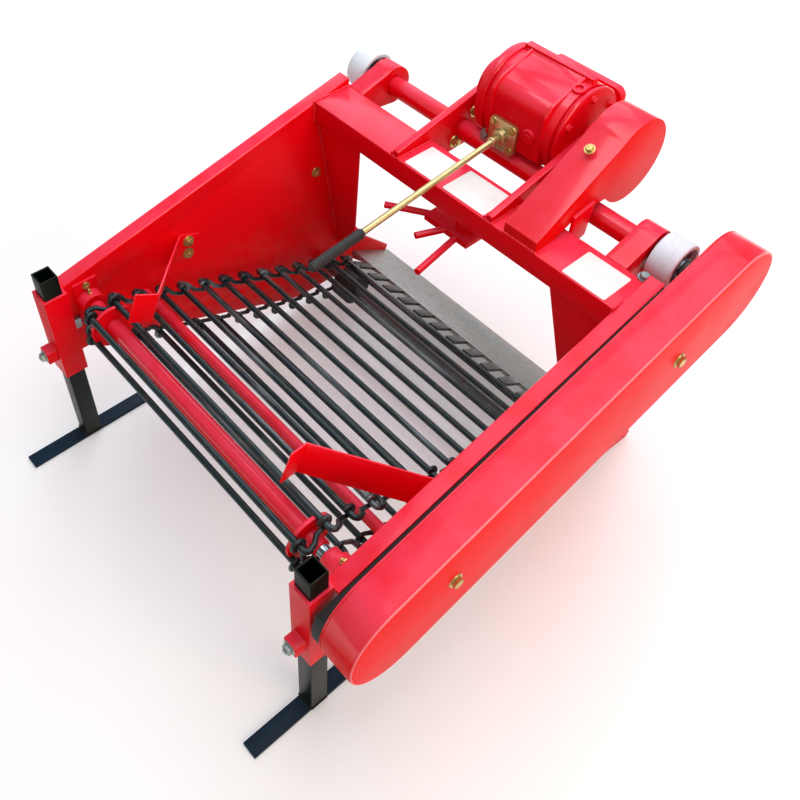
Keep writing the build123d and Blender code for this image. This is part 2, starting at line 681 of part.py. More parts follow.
def mount_plane():
    """Front face of the gearbox neck, with its Z pointing forwards."""
    middle_z = (NECK_BOTTOM + NECK_TOP) / 2
    return Plane(origin=(0, NECK_FRONT, middle_z), x_dir=(-1, 0, 0), z_dir=(0, 1, 0))


def gearbox_mount_flange():
    """Flange that bolts to the walking tractor, with the input bore in its middle."""
    face = RectangleRounded(MOUNT_WIDTH, MOUNT_HEIGHT, MOUNT_CORNER)
    for x in (-MOUNT_BOLT_X / 2, MOUNT_BOLT_X / 2):
        for z in (-MOUNT_BOLT_Z / 2, MOUNT_BOLT_Z / 2):
            face = face - Pos(x, z) * Circle(MOUNT_BOLT_RADIUS)
    face = face - Circle(INPUT_RADIUS)
    return extrude(mount_plane() * face, amount=MOUNT_THICKNESS)


def case_top(y):
    """Height of the short case's sloping top."""
    rear_z = BEAM_TOP + CASE_REAR_HEIGHT
    rise = (GEAR_Z + CASE_CREST_UP - rear_z) / (GEAR_Y - CASE_CREST_BACK - BEAM_REAR)
    return rear_z + rise * (y - BEAM_REAR)


def case_side(inset):
    """Side view of the short case, with its rear, top and round front moved in."""
    arc_y = GEAR_Y - CASE_CREST_BACK
    foot_y = BEAM_REAR + BEAM_LIP
    side = Polygon(
        (foot_y + inset, BEAM_TOP),
        (BEAM_REAR + 44, BEAM_TOP),
        (CROSS_Y - 60, BEAM_TOP + 22),
        (GEAR_Y - 36, GEAR_Z - 44),
        (GEAR_Y - 28, GEAR_Z - 64),
        (GEAR_Y, GEAR_Z),
        (arc_y, case_top(arc_y) - inset),
        (foot_y + inset, case_top(foot_y) - inset),
        align=None,
    )
    return side + Pos(GEAR_Y, GEAR_Z) * Circle(CASE_RADIUS - inset)


def short_chain_case():
    """Hood over the short chain, open below, from the gearbox back to the beam."""
    mouth = Polygon(
        (BEAM_REAR + BEAM_LIP + CASE_WALL, BEAM_BOTTOM),
        (GEAR_Y - 30, BEAM_BOTTOM),
        (GEAR_Y - 30, GEAR_Z - 20),
        (BEAM_REAR + BEAM_LIP + CASE_WALL, BEAM_TOP + CASE_WALL),
        align=None,
    )
    hood = extrude(Plane.YZ.offset(CASE_LEFT_X) * case_side(0), amount=CASE_WIDTH)
    inside = Plane.YZ.offset(CASE_LEFT_X + CASE_WALL) * (case_side(CASE_WALL) + mouth)
    return hood - extrude(inside, amount=CASE_WIDTH - 2 * CASE_WALL)


def case_support_plate():
    x_start = CASE_LEFT_X + CASE_WIDTH
    outline = [
        (BEAM_FRONT, BEAM_BOTTOM + 4),
        (BEAM_FRONT + 40, BEAM_BOTTOM + 14),
        (BEAM_FRONT + 46, BEAM_TOP + 36),
        (BEAM_FRONT, BEAM_TOP + 28),
    ]
    return outline_yz(outline, x_start, x_start + SUPPORT_THICKNESS)


def shifter_flange():
    """Square plate with a round pad where the lever enters the gearbox."""
    y_front = GEAR_REAR
    half = LEVER_FLANGE / 2
    plate = block(
        LEVER_X - half, LEVER_X + half, y_front - LEVER_FLANGE_THICKNESS, y_front,
        LEVER_Z - half, LEVER_Z + half,
    )
    plate = fillet(plate.edges().filter_by(Axis.Y), 8.0)
    plane = Plane(origin=(LEVER_X, y_front - LEVER_FLANGE_THICKNESS, LEVER_Z), z_dir=(0, -1, 0))
    return plate + extrude(plane * Circle(LEVER_FLANGE / 4), amount=LEVER_PAD)


def lever_plane(distance):
    """Plane square to the lever at a distance from the middle of its socket."""
    swing = math.radians(LEVER_SWING)
    direction = (math.sin(swing), -math.cos(swing), 0)
    socket_y = GEAR_REAR - LEVER_FLANGE_THICKNESS - LEVER_PAD - LEVER_SOCKET / 2
    origin = (LEVER_X + direction[0] * distance, socket_y + direction[1] * distance, LEVER_Z)
    return Plane(origin=origin, x_dir=(0, 0, 1), z_dir=direction)


def clutch_lever_rod():
    """Short round socket against the pad, with the long rod set into it at a slant."""
    pad_y = GEAR_REAR - LEVER_FLANGE_THICKNESS - LEVER_PAD
    pad_plane = Plane(origin=(LEVER_X, pad_y, LEVER_Z), z_dir=(0, -1, 0))
    socket = extrude(pad_plane * Circle(LEVER_ROD_RADIUS * 1.6), amount=LEVER_SOCKET)
    rod = extrude(lever_plane(0) * Circle(LEVER_ROD_RADIUS), amount=LEVER_LENGTH)
    return socket + rod


def lever_grip():
    """Sleeve over the end of the rod, closed at its own end."""
    start = LEVER_LENGTH - GRIP_LENGTH + GRIP_CAP
    grip = extrude(lever_plane(start) * Circle(GRIP_RADIUS), amount=GRIP_LENGTH)
    bore = Circle(LEVER_ROD_RADIUS + FIT)
    return grip - extrude(lever_plane(start) * bore, amount=GRIP_LENGTH - GRIP_CAP)


def bent_strip(path, thickness):
    """Outline of a sheet bent along a path of (x, along) points, thickened to its left."""
    normals = []
    for (x0, y0), (x1, y1) in zip(path, path[1:]):
        run = math.hypot(x1 - x0, y1 - y0)
        normals.append(((y0 - y1) / run, (x1 - x0) / run))
    far_side = []
    for i, (x, y) in enumerate(path):
        a, b = normals[max(i - 1, 0)], normals[min(i, len(normals) - 1)]
        grow = thickness / (1 + a[0] * b[0] + a[1] * b[1])
        far_side.append((x + (a[0] + b[0]) * grow, y + (a[1] + b[1]) * grow))
    return Polygon(*path, *reversed(far_side), align=None)


def deflector():
    """Right bent sheet that turns the crop towards the middle of the web."""
    path = [
        (HALF_WIDTH, WING_START + WING_FOOT),
        (HALF_WIDTH, WING_START),
        (WING_TIP_X, WING_TIP),
        (WING_TIP_X + WING_TAB_TURN, WING_TIP - WING_TAB),
    ]
    rise = web_point(0, PITCH_RADIUS + WING_LIFT)
    normal = (0, math.sin(SLOPE), math.cos(SLOPE))
    plane = Plane(origin=(0, *rise), x_dir=(1, 0, 0), z_dir=normal)
    return extrude(plane * bent_strip(path, -WING_SHEET), amount=WING_HEIGHT, dir=normal)


def blade_point(along, above):
    """(y, z) of a point given down the blade from its rear edge and square to its face."""
    length = math.hypot(BLADE_RUN, BLADE_REAR_HEIGHT)
    y = BLADE_REAR + (along * BLADE_RUN + above * BLADE_REAR_HEIGHT) / length
    z = BLADE_REAR_HEIGHT + (above * BLADE_RUN - along * BLADE_REAR_HEIGHT) / length
    return y, z


def digging_blade():
    """Sloping share between the side arms, ground to an edge that rests on the ground."""
    x_end = HALF_WIDTH + SHEET
    length = math.hypot(BLADE_RUN, BLADE_REAR_HEIGHT)
    outline = [
        blade_point(0, 0),
        blade_point(length, 0),
        blade_point(length - BLADE_BEVEL, -BLADE_THICKNESS),
        blade_point(0, -BLADE_THICKNESS),
    ]
    return outline_yz(outline, -x_end, x_end)


def lifting_fingers():
    """Row of bars from the blade's rear edge up to the web."""
    outline = [
        blade_point(0, 0),
        blade_point(-FINGER_LENGTH, FINGER_RISE),
        blade_point(-FINGER_LENGTH, FINGER_RISE - FINGER_THICKNESS),
        blade_point(0, -FINGER_THICKNESS),
    ]
    fingers = []
    for i in range(FINGER_COUNT):
        x_start = (i - (FINGER_COUNT - 1) / 2) * FINGER_PITCH - FINGER_WIDTH / 2
        fingers.append(outline_yz(outline, x_start, x_start + FINGER_WIDTH))
    return fingers


def blade_arm():
    """Right side arm, bolted on the outside of the side plate, that holds the blade."""
    outline = [
        (ARM_REAR, ARM_LOW),
        (ARM_REAR, ARM_TOP),
        (ARM_REAR + ARM_SHOULDER, ARM_TOP),
        (BLADE_REAR + BLADE_RUN / 3, BLADE_REAR_HEIGHT + 22),
        (BLADE_FRONT, 14),
        (BLADE_FRONT - 6, 1),
        (BLADE_REAR + BLADE_RUN / 4, 8),
        (BLADE_REAR - 10, ARM_LOW - 16),
    ]
    x_start = HALF_WIDTH + SHEET
    return outline_yz(outline, x_start, x_start + ARM_PLATE)


def hitch_bracket():
    """Hub below the beam with a pad and three round bars that reach back from it."""
    pad_low = HITCH_PAD_TOP - HITCH_PAD
    hub = extrude(
        Pos(HITCH_X, HITCH_Y, HITCH_PAD_TOP) * Circle(HITCH_HUB_RADIUS), amount=BEAM_BOTTOM - HITCH_PAD_TOP
    )
    bracket = hub + block(*HITCH_PAD_SIDES, pad_low, HITCH_PAD_TOP)
    middle = HITCH_PAD_TOP - HITCH_PAD / 2
    for (x0, y0), (x1, y1) in HITCH_BARS:
        length = math.hypot(x1 - x0, y1 - y0)
        plane = Plane(origin=(x0, y0, middle), x_dir=(0, 0, 1), z_dir=(x1 - x0, y1 - y0, 0))
        bracket = bracket + extrude(plane * Circle(HITCH_BAR_RADIUS), amount=length)
    return bracket


def pair(right):
    """A right-hand piece and its mirror image on the left."""
    return [mirror(right, about=Plane.YZ), right]


def write(name, shape):
    """Write one node's solid, or its group of solids that do not touch."""
    items = shape if isinstance(shape, list) else [shape]
    solids = [Pos(-CENTRE_X, -CENTRE_Y, 0) * solid for item in items for solid in item.solids()]
    whole = solids[0] if len(solids) == 1 else Compound(children=solids)
    whole.label = name
    export_step(whole, os.path.join("parts", name + ".step"))


left_plate, right_plate = pair(side_plate())
left_leg, right_leg = pair(leg_tube())
left_skid, right_skid = pair(skid())

NODES = {
    "left_side_plate": left_plate,
    "right_side_plate": right_plate,
    "crossbeam": crossbeam(),
    "corner_gussets": pair(corner_gusset()),
    "leg_sleeves": pair(leg_sleeve()),
    "left_leg_tube": left_leg,
    "right_leg_tube": right_leg,
    "left_skid": left_skid,
    "right_skid": right_skid,
    "shaft_bearings": pair(shaft_bearing()),
    "rear_drive_shaft": rear_drive_shaft(),
    "web_star_wheels": web_star_wheels(),
    "front_idler_shaft": front_idler_shaft(),
    "front_idler_rollers": front_idler_rollers(),
    "rod_web": rod_web(),
    "inner_tie_tube": inner_tie_tube(),
    "cross_tube": cross_tube(),
    "cross_shaft": cross_shaft(),
    "tube_brackets": [tube_bracket(LEFT_BRACKET_X), tube_bracket(RIGHT_BRACKET_X)],
    "left_wheel_tread": wheel_tread(LEFT_WHEEL_X),
    "left_wheel_hub": wheel_hub(LEFT_WHEEL_X),
    "right_wheel_tread": wheel_tread(RIGHT_WHEEL_X),
    "right_wheel_hub": wheel_hub(RIGHT_WHEEL_X),
    "long_chain_guard": long_chain_guard(),
    "chain_back_plate": chain_back_plate(),
    "guard_spacers": guard_spacers(),
    "guard_bolts": guard_bolts(),
    "gearbox_arms": [gearbox_arm(LEFT_ARM_X), gearbox_arm(RIGHT_ARM_X)],
    "gearbox_housing": gearbox_housing(),
    "gearbox_left_cover": gearbox_left_cover(),
    "gearbox_right_cover": gearbox_right_cover(),
    "output_housing": output_housing(),
    "gearbox_mount_flange": gearbox_mount_flange(),
    "short_chain_case": short_chain_case(),
    "case_support_plate": case_support_plate(),
    "shifter_flange": shifter_flange(),
    "clutch_lever_rod": clutch_lever_rod(),
    "lever_grip": lever_grip(),
    "deflectors": pair(deflector()),
    "digging_blade": digging_blade(),
    "lifting_fingers": lifting_fingers(),
    "blade_arms": pair(blade_arm()),
    "hitch_bracket": hitch_bracket(),
}

os.makedirs("parts", exist_ok=True)
for node, shape in NODES.items():
    write(node, shape)
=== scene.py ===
# %% [markdown]
# # A walk-behind potato digger, dressed for its picture
#
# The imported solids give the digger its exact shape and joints. This lesson gives them their paint
# and their rounded edges, draws the hooked rods round and smooth, and adds what a solid model
# leaves out: the small bolts, the weld beads, the raised lines and the blank plates. Each step says
# what the piece is before it is made.

import json
import math

import bmesh
import bpy
from mathutils import Matrix, Vector

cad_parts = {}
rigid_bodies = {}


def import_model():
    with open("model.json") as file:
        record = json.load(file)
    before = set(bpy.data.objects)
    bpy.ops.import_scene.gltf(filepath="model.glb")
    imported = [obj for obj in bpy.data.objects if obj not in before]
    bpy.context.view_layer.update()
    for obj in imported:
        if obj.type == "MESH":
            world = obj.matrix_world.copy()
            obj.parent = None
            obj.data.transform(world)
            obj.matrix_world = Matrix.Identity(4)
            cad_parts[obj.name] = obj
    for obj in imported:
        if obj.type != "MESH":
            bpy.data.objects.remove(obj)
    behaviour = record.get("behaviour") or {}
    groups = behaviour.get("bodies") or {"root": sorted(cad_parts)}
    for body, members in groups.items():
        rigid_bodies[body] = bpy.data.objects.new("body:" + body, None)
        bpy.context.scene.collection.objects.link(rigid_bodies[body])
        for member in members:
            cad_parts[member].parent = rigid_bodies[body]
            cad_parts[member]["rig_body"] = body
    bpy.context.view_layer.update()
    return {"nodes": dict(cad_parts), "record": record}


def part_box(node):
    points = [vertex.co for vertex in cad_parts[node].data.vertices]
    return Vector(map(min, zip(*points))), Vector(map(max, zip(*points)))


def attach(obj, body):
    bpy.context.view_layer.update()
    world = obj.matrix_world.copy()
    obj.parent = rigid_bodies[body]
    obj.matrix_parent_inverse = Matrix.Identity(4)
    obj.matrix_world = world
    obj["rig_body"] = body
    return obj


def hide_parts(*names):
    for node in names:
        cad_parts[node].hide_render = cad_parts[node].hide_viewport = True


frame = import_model()

# %% [markdown]
# ## A ruler for the machine
#
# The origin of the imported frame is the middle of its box, which is no place that a fitter would
# measure from. A fitter measures from the middle between the side plates, from the rear shaft and
# from the ground. So `spot` takes millimetres from those three and gives metres in the frame. The
# middle and the shaft are read from the solids, so they follow when the solids change, and the
# ground is at zero.

# %% A ruler for the machine
MM = 0.001


def middle(node):
    """Middle of a solid's box."""
    low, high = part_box(node)
    return (low + high) / 2


MIDDLE_X = (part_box("left_side_plate")[0].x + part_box("right_side_plate")[1].x) / 2
SHAFT = middle("rear_drive_shaft")
SHAFT_HEIGHT = SHAFT.z / MM


def spot(x, y, z):
    """Point from millimetres right of the middle, ahead of the rear shaft and above the ground."""
    return Vector((MIDDLE_X + x * MM, SHAFT.y + y * MM, z * MM))


def reading(node):
    """Low and high corner of a solid's box, each as (x, y, z) in the fitter's millimetres."""
    return [
        ((p.x - MIDDLE_X) / MM, (p.y - SHAFT.y) / MM, p.z / MM)
        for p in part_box(node)
    ]


HALF_WIDTH = reading("crossbeam")[1][0]
print("rear shaft stands", round(SHAFT_HEIGHT, 1), "mm above the ground,",
      round(2 * HALF_WIDTH, 1), "mm between the side plates")

# %% [markdown]
# ## Finishes built in layers
#
# Every surface here is a Principled shader with layers over it: a base colour, then patches where
# noise is high, then a fine relief. The noise reads Object coordinates, because each finished piece
# sits at the origin, so a pattern runs on unbroken from one piece to the next. `add` makes a node
# with all its inputs in one line, and a small class keeps the layers short: `mask` makes a patchy
# mask, `over` lays a colour on it and `relief` adds the bump.

# %% Finishes built in layers
def linear(red, green, blue):
    """Screen colour, 0 to 255, as the linear value that a colour socket takes."""
    def one(value):
        value /= 255
        return value / 12.92 if value <= 0.04045 else ((value + 0.055) / 1.055) ** 2.4
    return (one(red), one(green), one(blue), 1.0)


def add(tree, kind, links=(), **values):
    """Node with its inputs linked from sockets or set to values; links are (input, socket)."""
    node = tree.nodes.new(kind)
    for key, value in values.items():
        setattr(node, key, value)
    for target, source in links:
        socket = node.inputs[target]
        if isinstance(source, bpy.types.NodeSocket):
            tree.links.new(source, socket)
        else:
            socket.default_value = source
    return node


# %% A finish and its layers
# A Mix node has its own sockets for each kind of value: below, above and result
MIX_SOCKETS = {"RGBA": (6, 7, 2), "FLOAT": (2, 3, 0)}


class Finish:
    """A surface whose colour, roughness and relief are laid on one after another."""

    def __init__(self, name, colour, roughness, metallic=0.0, coat=0.0, shine=0.5):
        self.material = bpy.data.materials.new(name)
        self.material.use_nodes = True
        self.tree = self.material.node_tree
        self.surface = self.tree.nodes["Principled BSDF"]
        for socket, value in {
            "Base Color": linear(*colour), "Roughness": roughness, "Metallic": metallic,
            "Coat Weight": coat, "Coat Roughness": 0.14, "Specular IOR Level": shine,
        }.items():
            self.surface.inputs[socket].default_value = value
        self.place = add(self.tree, "ShaderNodeTexCoord").outputs["Object"]

    def pattern(self, size, detail=3.0, stretch=(1, 1, 1)):
        """Noise whose spots are about size millimetres across."""
        mapping = add(self.tree, "ShaderNodeMapping", [("Vector", self.place), ("Scale", stretch)])
        noise = add(self.tree, "ShaderNodeTexNoise", [
            ("Vector", mapping.outputs["Vector"]), ("Scale", 1 / (size * MM)), ("Detail", detail),
            ("Roughness", 0.55)])
        return noise.outputs["Fac"]

    def between(self, value, low, high):
        """0 at low and 1 at high, and no further on either side."""
        return add(self.tree, "ShaderNodeMapRange", [
            ("Value", value), ("From Min", low), ("From Max", high)]).outputs["Result"]

    def mask(self, size, low, high, **options):
        """Patches where the noise is above low, full above high."""
        return self.between(self.pattern(size, **options), low, high)

    def part(self, vector, axis):
        return add(self.tree, "ShaderNodeSeparateXYZ", [("Vector", vector)]).outputs[axis]

    def along(self, axis, start, end):
        """0 to 1 between two places on an axis of the frame, in metres."""
        return self.between(self.part(self.place, axis), start, end)

    def facing_up(self, low, high):
        """0 to 1 between two shares of looking up: 0 is a wall, 1 a level top."""
        normal = add(self.tree, "ShaderNodeNewGeometry").outputs["Normal"]
        return self.between(self.part(normal, "Z"), low, high)

    def times(self, first, second):
        return add(self.tree, "ShaderNodeMath", [(0, first), (1, second)],
                   operation="MULTIPLY").outputs["Value"]

    def lay(self, socket, weight, value, kind="FLOAT"):
        """Mix a value over whatever feeds a socket now."""
        below, above, result = MIX_SOCKETS[kind]
        target = self.surface.inputs[socket]
        now = target.links[0].from_socket if target.is_linked else target.default_value
        mix = add(self.tree, "ShaderNodeMix", [(below, now), (above, value), (0, weight)],
                  data_type=kind)
        self.tree.links.new(mix.outputs[result], target)

    def over(self, mask, amount, colour=None, roughness=None, metallic=None):
        """Lay a colour, a roughness or a metal share over the mask."""
        weight = self.times(mask, amount)
        if colour is not None:
            self.lay("Base Color", weight, linear(*colour), "RGBA")
        if roughness is not None:
            self.lay("Roughness", weight, roughness)
        if metallic is not None:
            self.lay("Metallic", weight, metallic)

    def relief(self, height, depth):
        """Bump of about depth millimetres, added to the bumps before it."""
        bump = add(self.tree, "ShaderNodeBump", [("Height", height), ("Distance", depth * MM)])
        target = self.surface.inputs["Normal"]
        if target.is_linked:
            self.tree.links.new(target.links[0].from_socket, bump.inputs["Normal"])
        self.tree.links.new(bump.outputs["Normal"], target)


print("a finish mixes its layers through", sorted(MIX_SOCKETS))

# %% [markdown]
# ## Red enamel
#
# The whole frame is sprayed with one bright red enamel. Sheet takes it smooth, with a faint orange
# peel; the cast gearbox takes it with the grain of the sand mould under it. Soil dust settles low
# down, so a brownish layer grows toward the ground. A pale pink laid on what looks up is a painted
# sheen, a painted reflection of the sky, which turns the tops pinkish. Where a sheet bends from its
# top to its side the enamel is polished by hands and sacks, so the clear coat is full there and a
# bend catches a line of light. One function makes all the reds, so that they stay one family; the
# sheet red is a lighter copy of the frame red, painted light for the lit side plates.

# %% Red enamel
# Low, so that the white floor doesn't wash out the upright red faces
ENAMEL_IOR = 1.13


def red_enamel(name, colour, roughness, peel, grain=None, dents=0.0):
    """Sprayed red: shade drift, orange peel, dust low down, a painted sheen on the tops, and a cast
    grain or dents if asked.
    """
    paint = Finish(name, colour, roughness, coat=0.03)
    paint.surface.inputs["IOR"].default_value = ENAMEL_IOR
    drift = paint.mask(170, 0.35, 0.7, detail=2.0)
    paint.over(drift, 0.35, colour=[max(0, round(c * 0.92)) for c in colour])
    paint.over(paint.mask(46, 0.48, 0.72, detail=4.0), 0.4, roughness=roughness + 0.14)
    paint.over(paint.mask(3.2, 0.7, 0.76, detail=8.0), 0.5, colour=(120, 20, 18), roughness=0.6)
    low_down = paint.along("Z", 0.3, 0.03)
    dust = paint.times(low_down, paint.mask(24, 0.42, 0.7, detail=6.0))
    paint.over(dust, 0.32, colour=(150, 104, 84), roughness=0.75)
    # Painted sheen: a pale pink on what looks up stands in for the sky's reflection on the tops
    painted_sheen_on_tops = paint.times(paint.facing_up(0.35, 0.9), paint.mask(60, 0.1, 0.6, detail=3.0))
    paint.over(painted_sheen_on_tops, 0.09, colour=(255, 172, 236))
    paint.lay("Coat Weight", paint.facing_up(0.35, 0.9), 0.25)
    bend = paint.times(paint.facing_up(0.3, 0.5), paint.facing_up(0.95, 0.85))
    paint.lay("Coat Weight", bend, 1.0)
    if dents:
        paint.relief(paint.pattern(110, detail=1.0), dents)
    paint.relief(paint.pattern(3.2, detail=2.0), peel)
    if grain:
        paint.relief(paint.pattern(grain[0], detail=5.0), grain[1])
    return paint


RED = (236, 5, 22)
finishes = {
    "frame_red": red_enamel("frame enamel", RED, 0.34, 0.05).material,
    # The sheet red is the frame red made lighter: painted light for the lit side plates
    "plate_red": red_enamel("sheet enamel painted lighter", (248, 6, 20), 0.31, 0.04, dents=1.2).material,
    "guard_red": red_enamel("guard enamel", (236, 12, 14), 0.36, 0.04, dents=1.2).material,
    "gearbox_red": red_enamel(
        "casting enamel", (232, 6, 24), 0.38, 0.05, grain=(1.9, 0.16)).material,
}
print("reds:", sorted(finishes))

# %% [markdown]
# The rear shaft carries a painted tube, but the tube stops short on the right and the shaft shows
# bare between it and a collar. So its red gets a band of bright steel between two places on X.

# %% A bare band on the rear shaft
rear_shaft_red = red_enamel("rear shaft enamel", RED, 0.3, 0.03)
bare_from, bare_to = spot(272.5, 0, 0).x, spot(284.5, 0, 0).x
edge_blur = 0.5 * MM
bare = rear_shaft_red.times(
    rear_shaft_red.along("X", bare_from - edge_blur, bare_from + edge_blur),
    rear_shaft_red.along("X", bare_to + edge_blur, bare_to - edge_blur),
)
rear_shaft_red.over(bare, 1.0, colour=(176, 196, 204), roughness=0.24, metallic=0.9)
print("bare band:", round((bare_to - bare_from) / MM, 1), "mm")

# %% [markdown]
# ## Steel that works in soil
#
# The rods are bare round bar. They leave the mill dark, the soil polishes them in streaks and the
# rest turns brown; toward the digging end dry soil colours them tan. The blade is scoured bright.
# Layers over a plain metal give all of that: rust where one noise is high, bright streaks from
# noise stretched along the rod, and tan that grows toward the front.

# %% Steel that works in soil
SOIL_FROM, SOIL_TO = spot(0, 250, 0).y, spot(0, 600, 0).y


def soil_steel(name, colour, rust, shine, soil_share, metal):
    """Steel with shares of rust, of bright streaks along X and of soil toward the front."""
    steel = Finish(name, colour, 0.34, metallic=metal)
    rusty = steel.mask(16, 0.5, 0.7, detail=6.0)
    steel.over(rusty, rust, colour=(70, 56, 44), roughness=0.7, metallic=0.1)
    worn = steel.mask(30, 0.56, 0.7, detail=3.0, stretch=(0.12, 1, 1))
    steel.over(worn, shine, colour=(150, 164, 166), roughness=0.24, metallic=0.95)
    toward_front = steel.along("Y", SOIL_FROM, SOIL_TO)
    soil = steel.times(toward_front, steel.mask(12, 0.4, 0.62, detail=6.0))
    steel.over(soil, soil_share, colour=(104, 94, 74), roughness=0.85, metallic=0.0)
    steel.relief(steel.pattern(4.0, detail=5.0), 0.22)
    return steel.material


finishes["rod_steel"] = soil_steel("rod steel", (12, 38, 42), 0.4, 0.5, 0.3, 0.3)
finishes["shaft_steel"] = soil_steel("shaft steel", (108, 116, 118), 0.3, 0.6, 0.5, 0.75)
finishes["blade_steel"] = soil_steel("blade steel", (172, 170, 166), 0.22, 0.6, 0.2, 0.85)
finger_steel = soil_steel("finger steel", (40, 42, 42), 0.4, 0.5, 0.3, 0.6)
print("steels:", sorted(name for name in finishes if name.endswith("steel")))

# %% [markdown]
# ## Dark legs, plated lever, wheels and castings
#
# The legs wear a thin dark green-black paint and the skids a blue-black mill skin. The lever and
# the small fasteners are zinc plated and passivated to a pale straw yellow. The wheel treads are
# white plastic, and the grip is rubber. Three short functions lay the same few patches of noise
# over a plain base, one for dark paint, one for plating and one for moulded parts.

# %% Dark legs, plated lever, wheels and castings
def dark_paint(name, colour, worn, roughness=0.42, dust=0.12):
    """Dull dark paint, worn through in small spots and dusty just above the ground."""
    paint = Finish(name, colour, roughness, shine=0.16)
    paint.over(paint.mask(70, 0.4, 0.7), 0.6, colour=[round(c * 1.4) for c in colour])
    paint.over(paint.mask(9, 0.62, 0.72, detail=7.0), 0.5, colour=worn, roughness=0.6)
    paint.over(paint.along("Z", 0.03, 0.0), dust, colour=(112, 100, 82), roughness=0.85)
    paint.relief(paint.pattern(5.0, detail=4.0), 0.1)
    return paint.material


def plated(name, colour, tint):
    """Plated metal with a second tint in clouds and dull spots."""
    zinc = Finish(name, colour, 0.3, metallic=0.85)
    zinc.over(zinc.mask(14, 0.4, 0.65, detail=4.0), 0.6, colour=tint)
    zinc.over(zinc.mask(5, 0.58, 0.7, detail=5.0), 0.5, roughness=0.5)
    zinc.relief(zinc.pattern(2.4, detail=4.0), 0.04)
    return zinc.material


def moulded(name, colour, scuff, roughness):
    """Plastic or rubber with scuffed patches."""
    part = Finish(name, colour, roughness)
    part.over(part.mask(22, 0.5, 0.72, detail=6.0), 0.35, colour=scuff, roughness=roughness + 0.15)
    part.relief(part.pattern(2.2, detail=4.0), 0.06)
    return part.material


finishes.update(
    leg_paint=dark_paint("leg paint", (4, 15, 7), (34, 44, 28)),
    skid_steel=dark_paint("skid steel", (4, 32, 50), (30, 62, 86), 0.45, dust=0.03),
    bearing_iron=dark_paint("bearing iron", (36, 38, 38), (84, 80, 74), 0.5),
    roller_iron=dark_paint("roller iron", (52, 52, 50), (110, 104, 94), 0.45),
    zinc=plated("yellow zinc", (196, 180, 128), (176, 164, 120)),
    wheel_hub=plated("hub plate", (120, 138, 146), (92, 104, 110)),
    wheel_tread=moulded("white tread", (224, 233, 240), (196, 202, 204), 0.42),
    grip=moulded("grip rubber", (24, 24, 25), (52, 50, 48), 0.6),
)
brass_bolt = plated("brassy bolt", (198, 172, 104), (168, 150, 100))
grey_bolt = plated("grey bolt", (150, 158, 158), (120, 128, 126))
blank_white = moulded("blank plate", (232, 232, 228), (214, 212, 206), 0.35)
# Near-black for painted shade: the dark inside of the filler socket and the shadowed gap by the long
# guard
painted_shade_black = moulded("painted shade black", (14, 14, 15), (24, 24, 24), 0.7)
slot_of = {part["node"]: part["material_slot"] for part in frame["record"]["subparts"]}
print("finishes:", len(finishes), "for", len(slot_of), "solids")

# %% [markdown]
# ## Dress the solids
#
# A real sheet or casting has no knife edges: a small round on each edge catches a line of light.
# The Bevel modifier rounds edges, but it needs clean faces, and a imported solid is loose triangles.
# So each copy has its doubles merged and its flat faces joined, then gets the bevel, and the result
# is kept as plain mesh. The copy then stands for the solid. The width is chosen for each solid: a
# wide round on the castings and a fine one on thin sheet.

# %% Keep a finished mesh
def keep(name, mesh, slot, body, *nodes):
    """Link a finished mesh as a piece on a body, in the place of some solids."""
    piece = bpy.data.objects.new(name, mesh)
    bpy.context.scene.collection.objects.link(piece)
    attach(piece, body)
    if nodes:
        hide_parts(*nodes)
    print(name, "has", len(mesh.polygons), "faces")
    return piece


def settle(host):
    """Plain mesh of an object with its modifiers, which are then gone with it."""
    bpy.context.view_layer.update()
    ready = host.evaluated_get(bpy.context.evaluated_depsgraph_get())
    mesh = bpy.data.meshes.new_from_object(ready)
    host.modifiers.clear()
    bpy.data.objects.remove(host)
    return mesh


def smooth(mesh, angle=32):
    """Shade smooth, but keep what bends by more than the angle sharp."""
    mesh.shade_smooth()
    mesh.set_sharp_from_angle(angle=math.radians(angle))


# %% Find the cast creases
HOOD_Z, HOOD_FRONT, CREASE_LENGTH = spot(0, 0, 580).z, spot(0, 700, 0).y, 100 * MM
CREASE_BEND, CREASE_ROUND = 0.5, 9


def is_crease(edge):
    """A sharp crease across the sloping top of the gearbox, which is cast with a wide round."""
    a, b = (v.co for v in edge.verts)
    on_hood = min(a.z, b.z) > HOOD_Z and max(a.y, b.y) < HOOD_FRONT
    return on_hood and abs(a.x - b.x) > CREASE_LENGTH and edge.calc_face_angle(0) > CREASE_BEND


# %% Dress one solid
def dress(node, width):
    """Copy of a solid with its flat faces joined and its edges rounded by width millimetres."""
    solid = frame["nodes"][node]
    shape = bmesh.new()
    shape.from_mesh(solid.data)
    bmesh.ops.remove_doubles(shape, verts=shape.verts, dist=1e-6)
    bmesh.ops.dissolve_limit(
        shape, angle_limit=math.radians(0.6), verts=shape.verts, edges=shape.edges
    )
    if node == "gearbox_housing":
        creases = [edge for edge in shape.edges if is_crease(edge)]
        bmesh.ops.bevel(shape, geom=creases, offset=CREASE_ROUND * MM, offset_type="OFFSET",
                        segments=6, profile=0.5, affect="EDGES", clamp_overlap=True)
        print("cast creases rounded:", len(creases))
    mesh = bpy.data.meshes.new(node + "_dressed")
    shape.to_mesh(mesh)
    shape.free()
    if width:
        host = bpy.data.objects.new("host", mesh)
        bpy.context.scene.collection.objects.link(host)
        rounding = host.modifiers.new("rounding", "BEVEL")
        rounding.width = width * MM
        rounding.segments = 2
        rounding.limit_method = "ANGLE"
        rounding.angle_limit = math.radians(34)
        mesh = settle(host)
    smooth(mesh)
    mesh.materials.clear()
    mesh.materials.append(special.get(node, finishes[slot_of[node]]))
    return keep(node + "_dressed", mesh, slot_of[node], solid["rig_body"], node)


